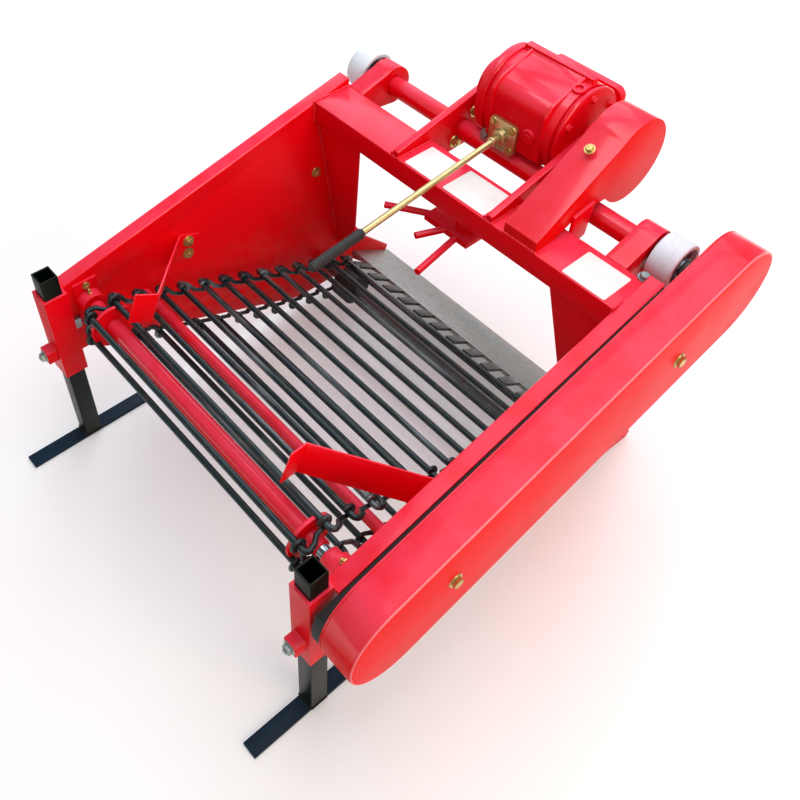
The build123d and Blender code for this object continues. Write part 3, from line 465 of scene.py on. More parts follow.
# %% Dress the solids
EDGES = {
    "left_side_plate": 0.8, "right_side_plate": 0.8, "crossbeam": 2.2, "corner_gussets": 0.8,
    "leg_sleeves": 1.0, "left_leg_tube": 1.0, "right_leg_tube": 1.0, "left_skid": 1.0,
    "right_skid": 1.0, "shaft_bearings": 1.2, "rear_drive_shaft": 0.6, "web_star_wheels": 0.7,
    "front_idler_shaft": 0.6, "front_idler_rollers": 1.2, "inner_tie_tube": 0.0, "cross_tube": 0.5,
    "cross_shaft": 0.5, "tube_brackets": 2.4, "left_wheel_hub": 1.0, "right_wheel_hub": 1.0,
    "long_chain_guard": 2.4, "chain_back_plate": 0.6, "guard_spacers": 0.5, "gearbox_arms": 1.4,
    "gearbox_housing": 2.4, "gearbox_left_cover": 2.0, "gearbox_right_cover": 1.6,
    "output_housing": 1.0, "gearbox_mount_flange": 1.4, "short_chain_case": 1.2,
    "case_support_plate": 1.0, "shifter_flange": 1.0, "clutch_lever_rod": 0.5, "deflectors": 0.7,
    "digging_blade": 0.7, "lifting_fingers": 0.9, "blade_arms": 1.2, "hitch_bracket": 1.2,
}
# Solids whose finish isn't the one of their material slot
special = {
    "rear_drive_shaft": rear_shaft_red.material, "web_star_wheels": finishes["frame_red"],
    "lifting_fingers": finger_steel,
}
dressed = [dress(node, width) for node, width in EDGES.items()]
print("dressed", len(dressed), "solids,", sum(len(p.data.polygons) for p in dressed), "faces")

# %% [markdown]
# ## A tree for each thing that repeats
#
# Rods, bolts and weld beads repeat, so Geometry Nodes make them: the tree holds the shape and its
# named sizes, and a host mesh holds only the places. `new_tree` makes the tree with its sockets,
# and `close_tree` ends it in real copies with their finish. `grow` sets the sizes by socket
# identifier, runs it once and keeps a plain mesh, because instances and live modifiers don't reach
# the export.

# %% Begin and end a tree
def new_tree(title, sizes):
    """Empty tree with a geometry input, named inputs of (name, socket type) and an output."""
    tree = bpy.data.node_groups.new(title, "GeometryNodeTree")
    tree.interface.new_socket("Places", in_out="INPUT", socket_type="NodeSocketGeometry")
    for label, kind in sizes:
        tree.interface.new_socket(label, in_out="INPUT", socket_type="NodeSocket" + kind)
    tree.interface.new_socket("Geometry", in_out="OUTPUT", socket_type="NodeSocketGeometry")
    return tree, add(tree, "NodeGroupInput").outputs


def close_tree(tree, given, geometry):
    """End a tree: copies made real, the finish set, and the output."""
    real = add(tree, "GeometryNodeRealizeInstances", [("Geometry", geometry)])
    painted = add(tree, "GeometryNodeSetMaterial", [
        ("Geometry", real.outputs["Geometry"]), ("Material", given["Finish"])])
    add(tree, "NodeGroupOutput", [("Geometry", painted.outputs["Geometry"])])
    print(tree.name, "tree has", len(tree.nodes), "nodes")


# %% Run a tree on a host mesh
def grow(name, tree, host, sizes, slot, body, *nodes, angle=32):
    """Run a tree on a host mesh with these sizes and keep the result as a piece."""
    carrier = bpy.data.objects.new("carrier", host)
    bpy.context.scene.collection.objects.link(carrier)
    step = carrier.modifiers.new("grow", "NODES")
    step.node_group = tree
    sockets = [item for item in tree.interface.items_tree if item.in_out == "INPUT"]
    for socket in sockets:
        if socket.name in sizes:
            step[socket.identifier] = sizes[socket.name]
    mesh = settle(carrier)
    smooth(mesh, angle)
    keep(name, mesh, slot, body, *nodes)


def host_mesh(name, points, edges=(), **vectors):
    """Mesh of bare points or lines with named vectors on its points."""
    mesh = bpy.data.meshes.new(name)
    mesh.from_pydata([tuple(p) for p in points], list(edges), [])
    for label, values in vectors.items():
        layer = mesh.attributes.new(label, "FLOAT_VECTOR", "POINT")
        layer.data.foreach_set("vector", [c for v in values for c in v])
    return mesh


def chained(lines):
    """Points and edges of lines, each through a list of (x, y, z) in the fitter's millimetres."""
    points, edges = [], []
    for line in lines:
        edges += [(len(points) + i, len(points) + i + 1) for i in range(len(line) - 1)]
        points += [spot(*p) for p in line]
    return points, edges


# %% [markdown]
# ## The rod web
#
# The web that lifts the potatoes is the heart of the machine. Each rod is one bar: at both ends it
# bends toward the next rod, runs to it, and hooks round it, so the rods carry each other without a
# chain. The shape follows a rule, so one bent path is swept and set out once for each rod. The path
# is a line of points with a thickness on each, because the hook is drawn thinner than the bar.

# %% The path of one rod
ROD, HOOK_WIRE, EYE_GAP = 5.2, 3.5, 0.35
PITCH, ARM_X, HOOK_X = 45.0, 275.0, 258.0


def arc(centre, radius, start, end, steps):
    """Points (a, b) on an arc, angles in degrees."""
    for i in range(steps + 1):
        turn = math.radians(start + (end - start) * i / steps)
        yield centre[0] + radius * math.cos(turn), centre[1] + radius * math.sin(turn)


def rod_half():
    """Right half of a rod: (x, toward the next rod, above, thickness) from the middle out."""
    bend, bend_steps, thinned = 7.5, 5, 0.6
    loop, loop_steps, loop_lean = ROD + EYE_GAP + HOOK_WIRE, 14, 2
    path = [(0, 0, 0, ROD), (ARM_X - bend - 14, 0, 0, ROD)]
    path += [(x, y, 0, ROD - thinned * i / bend_steps) for i, (x, y) in
             enumerate(arc((ARM_X - bend, bend), bend, -90, 0, bend_steps))]
    path += [(ARM_X - 3, 17, -1.0, 4.4), (HOOK_X + 4, 27, -loop + 2.2, 4.0)]
    path += [(HOOK_X + loop_lean * (1 - i / loop_steps), y, z, HOOK_WIRE) for i, (y, z) in
             enumerate(arc((PITCH, 0), loop, -112, 158, loop_steps))]
    return path


half = rod_half()
path = [(-x, y, z, t) for x, y, z, t in reversed(half)] + half[1:]
rod_path = bpy.data.meshes.new("rod path")
rod_path.from_pydata([(x * MM, y * MM, z * MM) for x, y, z, t in path],
                     [(i, i + 1) for i in range(len(path) - 1)], [])
thick = rod_path.attributes.new("thickness", "FLOAT", "POINT")
thick.data.foreach_set("value", [t * MM for x, y, z, t in path])
rod_line = bpy.data.objects.new("rod line", rod_path)
print("one rod bends through", len(path), "points")

# %% [markdown]
# The rods sit on a closed loop: straight along the top, round a five-notch wheel at the rear and a
# roller at the front, and back below, where the slack run sags. The loop is worked out from the
# pitch and the sag, so the swept rods fall exactly where the solids have them.

# %% The loop of rods
TEETH, TOP_LINKS, SAG = 5, 12, 14.0
WEB_RADIUS = PITCH / (2 * math.sin(math.pi / TEETH))
front_mid = middle("front_idler_shaft")
run_y, run_z = front_mid.y - SHAFT.y, front_mid.z - SHAFT.z
WEB_LENGTH = math.hypot(run_y, run_z) / MM
ahead = Vector((0, run_y, run_z)).normalized()
upward = Vector((0, -ahead.z, ahead.y))


def on_web(x, along, above):
    """Point from the rear shaft, along the web and square above its middle line, in mm."""
    start = Vector((MIDDLE_X, SHAFT.y, SHAFT.z))
    return start + (Vector((x, 0, 0)) + along * ahead + above * upward) * MM


def slack_run(first, links):
    """Even steps along the sagging lower run, from the front to the rear."""
    samples = 40 * links
    curve = []
    for i in range(samples + 1):
        share = i / samples
        curve.append((WEB_LENGTH - first - (WEB_LENGTH - 2 * first) * share,
                      -WEB_RADIUS - 4 * SAG * share * (1 - share)))
    walked = [0]
    for here, after in zip(curve, curve[1:]):
        walked.append(walked[-1] + math.dist(here, after))
    goals = [walked[-1] * link / links for link in range(links + 1)]
    return [curve[min(range(samples + 1), key=lambda i: abs(walked[i] - goal))] for goal in goals]


def loop_spots():
    """Places of all rods round the loop, from below the rear wheel over the top to the front."""
    turn = 2 * math.pi / TEETH
    rear = [(-WEB_RADIUS * math.sin(i * turn), WEB_RADIUS * math.cos(i * turn)) for i in (2, 1)]
    upper = [(i * PITCH, WEB_RADIUS) for i in range(TOP_LINKS + 1)]
    ends = [(WEB_LENGTH - a, b) for a, b in reversed(rear)]
    first, drop = rear[0][0], WEB_RADIUS + rear[0][1]
    first += math.sqrt(PITCH ** 2 - drop ** 2)
    lower = slack_run(first, TOP_LINKS - 1)
    return [on_web(0, a, b) for a, b in rear + upper + ends + lower]


rods = loop_spots()
turns = []
for here, after in zip(rods, rods[1:] + rods[:1]):
    turns.append((math.atan2(after.z - here.z, after.y - here.y), 0, 0))
print("the loop holds", len(rods), "rods over", round(WEB_LENGTH), "mm between its shafts")

# %% [markdown]
# The tree sweeps a round section along the path, scaled by its thickness, closes the ends and puts
# a copy on each point of the loop, turned toward the next rod. Three helpers keep it short, and the
# later trees use them too: `field` reads a named value, `sweep` draws a tube along a line and
# `copies` sets a shape out on points.

# %% Helpers for the tree in hand
def field(name, kind="FLOAT_VECTOR"):
    """Named value that each point carries."""
    return add(tree, "GeometryNodeInputNamedAttribute", [("Name", name)],
               data_type=kind).outputs["Attribute"]


def sweep(lines, sides, radius, *more):
    """Tube of round section along the lines that a node gives, closed at its ends."""
    section = add(tree, "GeometryNodeCurvePrimitiveCircle", [
        ("Resolution", sides), ("Radius", radius)])
    return add(tree, "GeometryNodeCurveToMesh", [
        ("Curve", lines.outputs["Curve"]), ("Profile Curve", section.outputs["Curve"]),
        ("Fill Caps", True), *more]).outputs["Mesh"]


def copies(points, instance, *more):
    """A copy of a shape on each point."""
    return add(tree, "GeometryNodeInstanceOnPoints", [
        ("Points", points), ("Instance", instance), *more]).outputs["Instances"]


# %% The rod web tree
web_tree, given = new_tree("rod web", [
    ("Rod path", "Object"), ("Section sides", "Int"), ("Finish", "Material"),
])
tree = web_tree
line = add(tree, "GeometryNodeObjectInfo", [("Object", given["Rod path"])])
bar = add(tree, "GeometryNodeMeshToCurve", [("Mesh", line.outputs["Geometry"])])
rod = sweep(bar, given["Section sides"], 1.0, ("Scale", field("thickness", "FLOAT")))
euler = add(tree, "FunctionNodeEulerToRotation", [("Euler", field("turn"))])
close_tree(tree, given, copies(given["Places"], rod, ("Rotation", euler.outputs["Rotation"])))

# %% Sweep and set out the rods
grow("hooked_rod_web", web_tree, host_mesh("rod places", rods, turn=turns),
     {"Rod path": rod_line, "Section sides": 10, "Finish": finishes["rod_steel"]},
     "rod_steel", "frame", "rod_web", angle=50)

# %% [markdown]
# ## Bolts
#
# The machine is held by hexagon bolts on washers. A bolt is a prism with a chamfered top, a washer
# under it and, where it is a nut, the end of the thread. The tree makes one from its key width and
# head height and sets it on each place, facing the way the place says and spun by a seeded random
# turn, because no fitter lines up the flats.

# %% The bolt tree
bolt_tree, given = new_tree("hexagon bolt", [
    ("Key width", "Float"), ("Head height", "Float"), ("Washer radius", "Float"),
    ("Washer thickness", "Float"), ("Thread end", "Float"), ("Finish", "Material"), ("Seed", "Int"),
])
tree = bolt_tree


def times(a, b):
    return add(tree, "ShaderNodeMath", [(0, a), (1, b)], operation="MULTIPLY").outputs[0]


def plus(a, b):
    return add(tree, "ShaderNodeMath", [(0, a), (1, b)], operation="ADD").outputs[0]


def cone(sides, low_radius, top_radius, height, stands_on):
    """Prism or cone standing at a height, as a bolt stands on its washer."""
    body = add(tree, "GeometryNodeMeshCone", [
        ("Vertices", sides), ("Radius Top", top_radius), ("Radius Bottom", low_radius),
        ("Depth", height)])
    up = add(tree, "ShaderNodeCombineXYZ", [("Z", stands_on)])
    return add(tree, "GeometryNodeTransform", [
        ("Geometry", body.outputs["Mesh"]), ("Translation", up.outputs[0])]).outputs[0]


CORNER_SHARE, FLAT_SHARE = 0.57735, 0.82
corner = times(given["Key width"], CORNER_SHARE)
head, washer, ring = given["Head height"], given["Washer thickness"], given["Washer radius"]
flats = times(head, FLAT_SHARE)
bolt = add(tree, "GeometryNodeJoinGeometry")
for shape in (
    cone(6, corner, corner, flats, washer),
    cone(6, corner, times(corner, 0.84), times(head, 1 - FLAT_SHARE), plus(washer, flats)),
    cone(20, ring, times(ring, 0.95), washer, 0.0),
    cone(12, times(corner, 0.52), times(corner, 0.46), given["Thread end"], plus(washer, head)),
):
    tree.links.new(shape, bolt.inputs[0])
print("a bolt joins", len(bolt.inputs[0].links), "shapes")

# %% Set each bolt on its place
aim = add(tree, "FunctionNodeAlignRotationToVector", [("Vector", field("facing"))], axis="Z")
# Sockets of a Random Value node for the least and the most of a plain number
LEAST, MOST = 2, 3
spin = add(tree, "FunctionNodeRandomValue", [
    ("Seed", given["Seed"]), (MOST, math.pi)], data_type="FLOAT")
around = add(tree, "FunctionNodeAxisAngleToRotation", [
    ("Axis", (0, 0, 1)), ("Angle", spin.outputs[1])])
aimed = add(tree, "FunctionNodeRotateRotation", [
    ("Rotation", aim.outputs["Rotation"]), ("Rotate By", around.outputs["Rotation"])],
    rotation_space="LOCAL")
close_tree(tree, given, copies(
    given["Places"], bolt.outputs[0], ("Rotation", aimed.outputs["Rotation"])))


def bolts(name, places, key, material, *nodes, slot="zinc", thread=0.0, seed=1):
    """Bolts of one key width on (point, facing) places, in the place of some solids if named."""
    sizes = {
        "Key width": key * MM, "Head height": key * 0.42 * MM, "Washer radius": key * 0.82 * MM,
        "Washer thickness": key * 0.12 * MM, "Thread end": max(thread, 0.05) * MM,
        "Finish": material, "Seed": seed,
    }
    points, ways = zip(*places)
    host = host_mesh(name, points, facing=[Vector(way).normalized() for way in ways])
    grow(name, bolt_tree, host, sizes, slot, "frame", *nodes)


# %% [markdown]
# Where the bolts go is read from the photograph: two hold each deflector, two the left arm of the
# gearbox, two the long guard, one the short case. The rest are where a fitter would need them, on
# the bearings, round the gearbox covers and along its split flange. `RIGHT`, `BACK` and `UP` say
# which way a head faces.

# %% Set the bolts of the frame
RIGHT, BACK, UP = Vector((1, 0, 0)), Vector((0, -1, 0)), Vector((0, 0, 1))
PLATE_INSIDE, BEARING_FACE, GUSSET_Z = HALF_WIDTH - 3, HALF_WIDTH - 4, 326
inside = []
for side in (-1, 1):
    for along, above in ((175, 91), (182, 66)):
        inside.append((on_web(side * PLATE_INSIDE, along, above), -side * RIGHT))
    inside.append((spot(side * HALF_WIDTH, 487, GUSSET_Z), -side * RIGHT))
bolts("plate_bolts", inside, 13, brass_bolt, thread=2.0, seed=3)
bearing = [(spot(side * BEARING_FACE, 0, z), -side * RIGHT) for side in (-1, 1) for z in (340, 276)]
bolts("bearing_bolts", bearing, 9, brass_bolt, thread=2.0, seed=4)
left_arm = reading("gearbox_arms")[0][0] + 18
arm_places = [(spot(left_arm, y, z), RIGHT) for y, z in ((623, 453), (666, 497))]
bolts("arm_bolts", arm_places, 15, brass_bolt, thread=3.0, seed=5)
guard_out = reading("long_chain_guard")[1][0]
guard_places = [(spot(guard_out, y, z), RIGHT) for y, z in ((90, 335.5), (520.8, 434.4))]
bolts("guard_bolt_heads", guard_places, 14.7, brass_bolt, "guard_bolts", slot="shaft_steel", seed=7)

# %% Set the bolts of the gearbox
GEAR_AXIS = (706, 543)
LEVER_X, LEVER_Z, LEVER_FACE = -17, 518, 622
FLANGE_FACE = 714
hood_slope = Vector((0, -0.52, 1))
bolts("hood_bolt", [(spot(147, 620, 588), hood_slope)], 11, brass_bolt, seed=9)
cast = [(spot(x, FLANGE_FACE, z), BACK) for z in (466, 512, 614) for x in (-62, 62)]
for x, way, radius in ((-87, -RIGHT, 62), (82, RIGHT, 60)):
    for turn in range(30, 390, 60):
        y, z = next(arc(GEAR_AXIS, radius, turn, turn, 1))
        cast.append((spot(x, y, z), way))
bolts("casting_bolts", cast, 10, finishes["gearbox_red"], slot="gearbox_red", seed=11)
corners = [(LEVER_X + x, LEVER_Z + z) for x in (-20, 20) for z in (-20, 20)]
bolts("shifter_bolts", [(spot(x, LEVER_FACE, z), BACK) for x, z in corners], 9, brass_bolt, seed=13)
bolts("bracket_bolts", [(spot(316, 569, 482.3), UP), (spot(-60, 636, 492), BACK + 0.4 * UP)],
      13, grey_bolt, slot="shaft_steel", seed=15)

# %% Set the bolts of the legs and the blade
LEG_X, LEG_Y = HALF_WIDTH - 2, -59
lug = reading("leg_sleeves")[0][1]
bolts("leg_screws", [(spot(side * LEG_X, lug, 236), BACK) for side in (-1, 1)], 14, grey_bolt,
      slot="shaft_steel", thread=2.0, seed=17)
arm_face = reading("blade_arms")[1][0]
blade_places = [(spot(side * arm_face, 536, z), side * RIGHT)
                for side in (-1, 1) for z in (150, 84)]
bolts("blade_bolts", blade_places, 17, grey_bolt, slot="shaft_steel", thread=2.0, seed=19)

# %% [markdown]
# ## Weld beads
#
# Welds join the frame: the beam to the plates, the sleeves, the arms and the skids. A weld is a row
# of small overlapping ripples, painted over. So a tree walks along each seam and sets a small ball
# every few millimetres, partly sunk in the corner and each a little different in size.

# %% The weld tree
weld_tree, given = new_tree("weld bead", [
    ("Step", "Float"), ("Bead radius", "Float"), ("Finish", "Material"), ("Seed", "Int"),
])
tree = weld_tree
seam = add(tree, "GeometryNodeMeshToCurve", [("Mesh", given["Places"])])
walk = add(tree, "GeometryNodeResampleCurve", [
    ("Curve", seam.outputs["Curve"]), ("Length", given["Step"])], mode="LENGTH")
ball = add(tree, "GeometryNodeMeshIcoSphere", [
    ("Radius", given["Bead radius"]), ("Subdivisions", 2)])
size = add(tree, "FunctionNodeRandomValue", [
    ("Seed", given["Seed"]), (LEAST, 0.8), (MOST, 1.12)], data_type="FLOAT")
close_tree(tree, given, copies(
    walk.outputs["Curve"], ball.outputs["Mesh"], ("Scale", size.outputs[1])))


def weld(name, seams, material, slot, body="frame", radius=2.6, seed=1):
    """Beads along seams, each a list of (x, y, z) in the fitter's millimetres."""
    sizes = {
        "Step": radius * 1.25 * MM, "Bead radius": radius * MM, "Finish": material, "Seed": seed,
    }
    grow(name, weld_tree, host_mesh(name, *chained(seams)), sizes, slot, body, angle=60)


# %% Lay the seams
(_, beam_rear, beam_under), (_, beam_front, beam_top) = reading("crossbeam")
SLEEVE_FRONT, GUSSET_REAR, GUSSET_LEAN = -39, 491, 0.164
ARM_SIDES, CASE_SIDES, PAD_SIDES, PAD_REAR = (-126, -114, 82, 94), (118, 180), (-62, 36), 508
seams = []
for side in (-1, 1):
    x = side * HALF_WIDTH
    seams.append([(x, beam_rear, beam_under), (x, beam_rear, beam_top), (x, beam_front, beam_top)])
    seams.append([(x, SLEEVE_FRONT, 205), (x, SLEEVE_FRONT, 354)])
    seams.append([(x - side, GUSSET_REAR + GUSSET_LEAN * (beam_under - z), z)
                  for z in (440, 300, 160)])
for x in ARM_SIDES:
    seams.append([(x, beam_rear + 2, beam_top), (x, beam_front - 2, beam_top)])
seams.append([(x, beam_rear + 2, beam_top) for x in CASE_SIDES])
seams.append([(x, PAD_REAR, beam_under) for x in PAD_SIDES])
weld("frame_welds", seams, finishes["frame_red"], "frame_red", seed=2)
HALF_LEG, SKID_TOP = 15, 7
for name, side in (("left", -1), ("right", 1)):
    foot = [(side * LEG_X + a * HALF_LEG, LEG_Y + b * HALF_LEG, SKID_TOP)
            for a, b in ((-1, -1), (1, -1), (1, 1), (-1, 1), (-1, -1))]
    weld(name + "_foot_weld", [foot], finishes["leg_paint"], "leg_paint", name + "_leg", 1.8)

# %% [markdown]
# ## Raised lines of the casting
#
# The gearbox body is cast, and its sloping top ends in a raised line on both sides, where the sand
# mould had a groove; a rib runs along the drum below each of them. A round section swept along the
# outline of the top gives that line, with its corners rounded as wide as the creases under it. The
# lines are few and short, so one small tree serves for all of them.

# %% The raised line tree
line_tree, given = new_tree("raised line", [("Radius", "Float"), ("Finish", "Material")])
tree = line_tree
line = add(tree, "GeometryNodeMeshToCurve", [("Mesh", given["Places"])])
bent = add(tree, "GeometryNodeFilletCurve", [
    ("Curve", line.outputs["Curve"]), ("Count", 4), ("Radius", CREASE_ROUND * MM)], mode="POLY")
close_tree(tree, given, sweep(bent, 12, given["Radius"]))


def raised(name, lines, radius, material, slot):
    """Round raised lines, each through a list of (x, y, z) in the fitter's millimetres."""
    sizes = {"Radius": radius * MM, "Finish": material}
    grow(name, line_tree, host_mesh(name, *chained(lines)), sizes, slot, "frame", angle=50)


# %% Raised lines on the hood
hood = [(630, 506), (630, 585), (642, 601), (713, 623.6)]
raised("hood_ridges", [[(x, y, z) for y, z in hood] for x in (-53, 53)], 3.2,
       finishes["gearbox_red"], "gearbox_red")
raised("drum_ribs", [[(x, FLANGE_FACE, 500), (x, 640, 500)] for x in (-63, 63)], 2.6,
       finishes["gearbox_red"], "gearbox_red")

# %% [markdown]
# The long guard is a flat face welded to a rim, and the seam is ground round. The seam is coloured a
# pale pink as a thin line along the upper edge: a painted highlight for the light that its round
# catches.
# The line runs round both ends, so its places are two half circles, one about each shaft. It starts
# and ends below, where nobody sees the join.

# %% Seam round the face of the long guard
CROSS_AXIS = (643, 469)
SEAM_RADIUS, SEAM_INSET = 81.6, 2.4
# Painted highlight: the seam's pale pink stands in for light caught on the round edge
seam_painted_highlight = red_enamel("guard seam painted highlight", (250, 112, 118), 0.3, 0.02).material
climb_angle = math.degrees(math.atan2(CROSS_AXIS[1] - SHAFT_HEIGHT, CROSS_AXIS[0]))
front_end = list(arc(CROSS_AXIS, SEAM_RADIUS, climb_angle - 90, climb_angle + 90, 24))
rear_end = list(arc((0, SHAFT_HEIGHT), SEAM_RADIUS, climb_angle + 90, climb_angle + 270, 24))
seam = [(guard_out - SEAM_INSET, y, z) for y, z in front_end + rear_end + front_end[:1]]
raised("guard_seam", [seam], 1.7, seam_painted_highlight, "guard_red")

# %% [markdown]
# ## Turned pieces
#
# The wheel treads, the ribbed grip, grease nipples and the plug and rims of the gearbox are all
# round, so a side view turned about an axis makes them. A side view is a list of places along the
# axis with the radius there; a radius of nothing closes the end in one point.

# %% Turned pieces
def closed(name, shape, material, slot, body, *nodes):
    """Piece of one finish from a closed shape, whose faces are turned outwards."""
    bmesh.ops.recalc_face_normals(shape, faces=shape.faces)
    mesh = bpy.data.meshes.new(name)
    shape.to_mesh(mesh)
    shape.free()
    mesh.materials.append(material)
    smooth(mesh)
    keep(name, mesh, slot, body, *nodes)


def turned(name, profile, base, axis, material, slot, body, *nodes, sides=48, ring=False):
    """Piece turned about an axis from (distance, radius) in mm; a ring closes on itself."""
    axis = Vector(axis).normalized()
    across = axis.orthogonal().normalized()
    over = axis.cross(across)
    shape = bmesh.new()
    rings = []
    for distance, radius in profile:
        centre = base + axis * distance * MM
        count = sides if radius else 1
        rings.append([
            shape.verts.new(centre + radius * MM * (across * math.cos(a) + over * math.sin(a)))
            for a in (2 * math.pi * i / sides for i in range(count))
        ])
    for first, second in zip(rings, rings[1:] + (rings[:1] if ring else [])):
        for i in range(sides):
            j = (i + 1) % sides
            corners = [first[i % len(first)], first[j % len(first)],
                       second[j % len(second)], second[i % len(second)]]
            shape.faces.new(list(dict.fromkeys(corners)))
    closed(name, shape, material, slot, body, *nodes)


# %% [markdown]
# The white treads are moulded rings with round shoulders and two shallow grooves.

# %% Wheel treads
TREAD, GROOVE, BORE = 40, 39.6, 33
tread_side = [(0, BORE), (0, 38.0), (0.8, 39.2), (2.4, TREAD)]
for middle_of_groove in (14, 28):
    tread_side += [(middle_of_groove + a, radius) for a, radius in
                   ((-1.0, TREAD), (-0.6, GROOVE), (0.6, GROOVE), (1.0, TREAD))]
tread_side += [(39.6, TREAD), (41.2, 39.2), (42, 38.0), (42, BORE)]
for side in ("left", "right"):
    node = side + "_wheel_tread"
    turned(node + "_moulded", tread_side, spot(reading(node)[0][0], *CROSS_AXIS), RIGHT,
           finishes["wheel_tread"], "wheel_tread", side + "_wheel", node, sides=72, ring=True)

# %% [markdown]
# The lever ends in a black sleeve with ribs for the hand. It leans like the lever, five and a half
# degrees off the machine's length.

# %% The grip
LEVER_REAR, TO_GRIP, RIBS, RIB_STEP = 604, 313, 14, 7
lean = math.radians(5.5)
lever_way = Vector((math.sin(lean), -math.cos(lean), 0))
grip_side = [(0, 0), (0, 6.6), (0.8, 7.3)]
for rib in range(RIBS):
    start = 3 + rib * RIB_STEP
    grip_side += [(start, 7.3), (start + 1.2, 8.0), (start + 4.2, 8.0), (start + 5.4, 7.3)]
grip_side += [(103, 7.2), (104.4, 6.0), (105, 4.0), (105, 0)]
turned("ribbed_grip", grip_side, spot(LEVER_X, LEVER_REAR, LEVER_Z) + lever_way * TO_GRIP * MM,
       lever_way, finishes["grip"], "grip", "frame", "lever_grip", sides=32)

# %% [markdown]
# Small round things: a grease nipple on each bearing, a filler plug on the drum of the gearbox whose
# socket is a black disc of painted shade, a turned rim round each of its covers and a low round boss
# beside the shifter.

# %% Nipples, plug, rims and boss
nipple = [(-1, 0), (-1, 3.4), (2.5, 3.4), (3, 2.2), (6, 2.0), (7, 2.8), (9, 2.4), (10, 1.2),
          (10, 0)]
for side, name in ((-1, "left"), (1, "right")):
    turned(name + "_grease_nipple", nipple, spot(side * 312, 0, 329.5), UP, brass_bolt, "zinc",
           "frame", sides=16)
casting = (finishes["gearbox_red"], "gearbox_red", "frame")
DRUM_RADIUS = 76
drum_way = Vector((0, -0.2, 1)).normalized()
filler_base = spot(62, *GEAR_AXIS) + drum_way * DRUM_RADIUS * MM
filler = [(-6, 0), (-6, 11), (3, 11), (4, 10), (4, 6.5), (-1.5, 6.0), (-1.5, 0)]
turned("filler_collar", filler, filler_base, drum_way, *casting, sides=28)
# Painted shade: a black disc at the bottom of the collar stands in for the dark inside of the socket
turned("filler_socket", [(-1.6, 0), (-1.4, 5.8), (-1.2, 5.6), (-1.0, 0)], filler_base, drum_way,
       painted_shade_black, "grip", "frame", sides=20)
rim = ((0, -8), (0, 0), (1.2, 1.4), (4.2, 1.4), (5.4, 0), (5.4, -8))
for name, x, radius in (("left_cover_rim", -74, 79), ("right_cover_rim", 76, 75)):
    turned(name, [(a, radius + b) for a, b in rim], spot(x, *GEAR_AXIS), RIGHT, *casting, sides=96,
           ring=True)
boss = [(-3, 0), (-3, 13), (3, 13), (4.5, 11.5), (4.5, 5), (5.2, 4.4), (5.2, 0)]
turned("drum_boss", boss, spot(30, 630, 540), BACK, *casting, sides=32)

# %% [markdown]
# ## Blank plates on the beam
#
# Three bare white plates lie on the beam. A plate is a thin slab with round corners: its outline is
# worked out, filled and given its thickness.

# %% Blank plates on the beam
def rounded(x0, x1, y0, y1, radius, steps=5):
    """Outline of a rectangle with round corners."""
    corners = ((x1 - radius, y1 - radius, 0), (x0 + radius, y1 - radius, 90),
               (x0 + radius, y0 + radius, 180), (x1 - radius, y0 + radius, 270))
    return [p for x, y, start in corners for p in arc((x, y), radius, start, start + 90, steps)]


def slab(name, outline, way, thickness, material, slot):
    """Closed slab from an outline of (x, y, z) in the fitter's millimetres, grown along way."""
    shape = bmesh.new()
    face = shape.faces.new([shape.verts.new(spot(*p)) for p in outline])
    grown = bmesh.ops.extrude_face_region(shape, geom=[face])["geom"]
    bmesh.ops.translate(shape, vec=way * thickness * MM,
                        verts=[v for v in grown if isinstance(v, bmesh.types.BMVert)])
    closed(name, shape, material, slot, "frame")


PLATE_CORNER, PLATE_THICKNESS = 3, 0.8
for label, sides in {
    "left_blank_plate": (-100, -35, 488, 552),
    "middle_blank_plate": (-15, 75, 489, 555),
    "right_blank_plate": (230, 307, 487, 551),
}.items():
    flat = [(x, y, beam_top) for x, y in rounded(*sides, PLATE_CORNER)]
    slab(label, flat, UP, PLATE_THICKNESS, blank_white, "zinc")

# %% [markdown]
# Between each sleeve and its bearing a plated square block is bolted to the plate. It is the same
# rounded slab, stood on edge.

# %% Square blocks beside the bearings
BLOCK, BLOCK_CORNER, BLOCK_THICKNESS = (-38, -24, 264, 284), 2, 8
for side, label in ((-1, "left"), (1, "right")):
    outline = [(side * HALF_WIDTH, y, z) for y, z in rounded(*BLOCK, BLOCK_CORNER)]
    slab(label + "_square_block", outline, -side * RIGHT, BLOCK_THICKNESS, grey_bolt, "shaft_steel")

# %% [markdown]
# A black strip runs between the right plate and the long guard, and at the rear it turns down round
# the guard's end. It is painted shade: a dark slab put in the gap, which lies in shadow, straight
# under the bent edge of the plate, then part of a turn about the rear shaft. Both edges of its side
# view follow from that, so the strip is one slab.

# %% Black strip of painted shade along the long guard
plate_out, _, plate_front_top = reading("right_side_plate")[1]
PLATE_TOP, STRIP_END = 365, 215
climb = (plate_front_top - PLATE_TOP) / beam_front


def strip_edge(drop, radius):
    """One edge of the strip: straight below the bent edge, then round the rear shaft."""
    def height(y):
        return PLATE_TOP - drop + climb * y
    front, y = beam_front - 2, 0.0
    while math.hypot(y, height(y) - SHAFT_HEIGHT) < radius:
        y -= 0.5
    turn = math.degrees(math.atan2(height(y) - SHAFT_HEIGHT, y))
    bend = list(arc((0, SHAFT_HEIGHT), radius, turn, STRIP_END, 10))
    return [(front, height(front)), (y, height(y))] + bend[1:]


side_view = strip_edge(4, 82) + strip_edge(13, 71)[::-1]
# Painted shade: a black slab filling the shadowed gap between plate and guard
slab("guard_gap_strip", [(plate_out, y, z) for y, z in side_view], RIGHT,
     reading("chain_back_plate")[0][0] - plate_out, painted_shade_black, "grip")

# %% [markdown]
# ## Floor, light and camera
#
# The photograph is a cut-out on white. The floor takes the shadow, and for camera rays and for
# rays that a shiny surface sends out it also glows a little, more so away from the machine, so that
# it reads white without more light on the machine. Three large soft lamps and a pale sky light the
# red at a plain level: a cool one ahead for the tops, a warm one on the right for the guard.

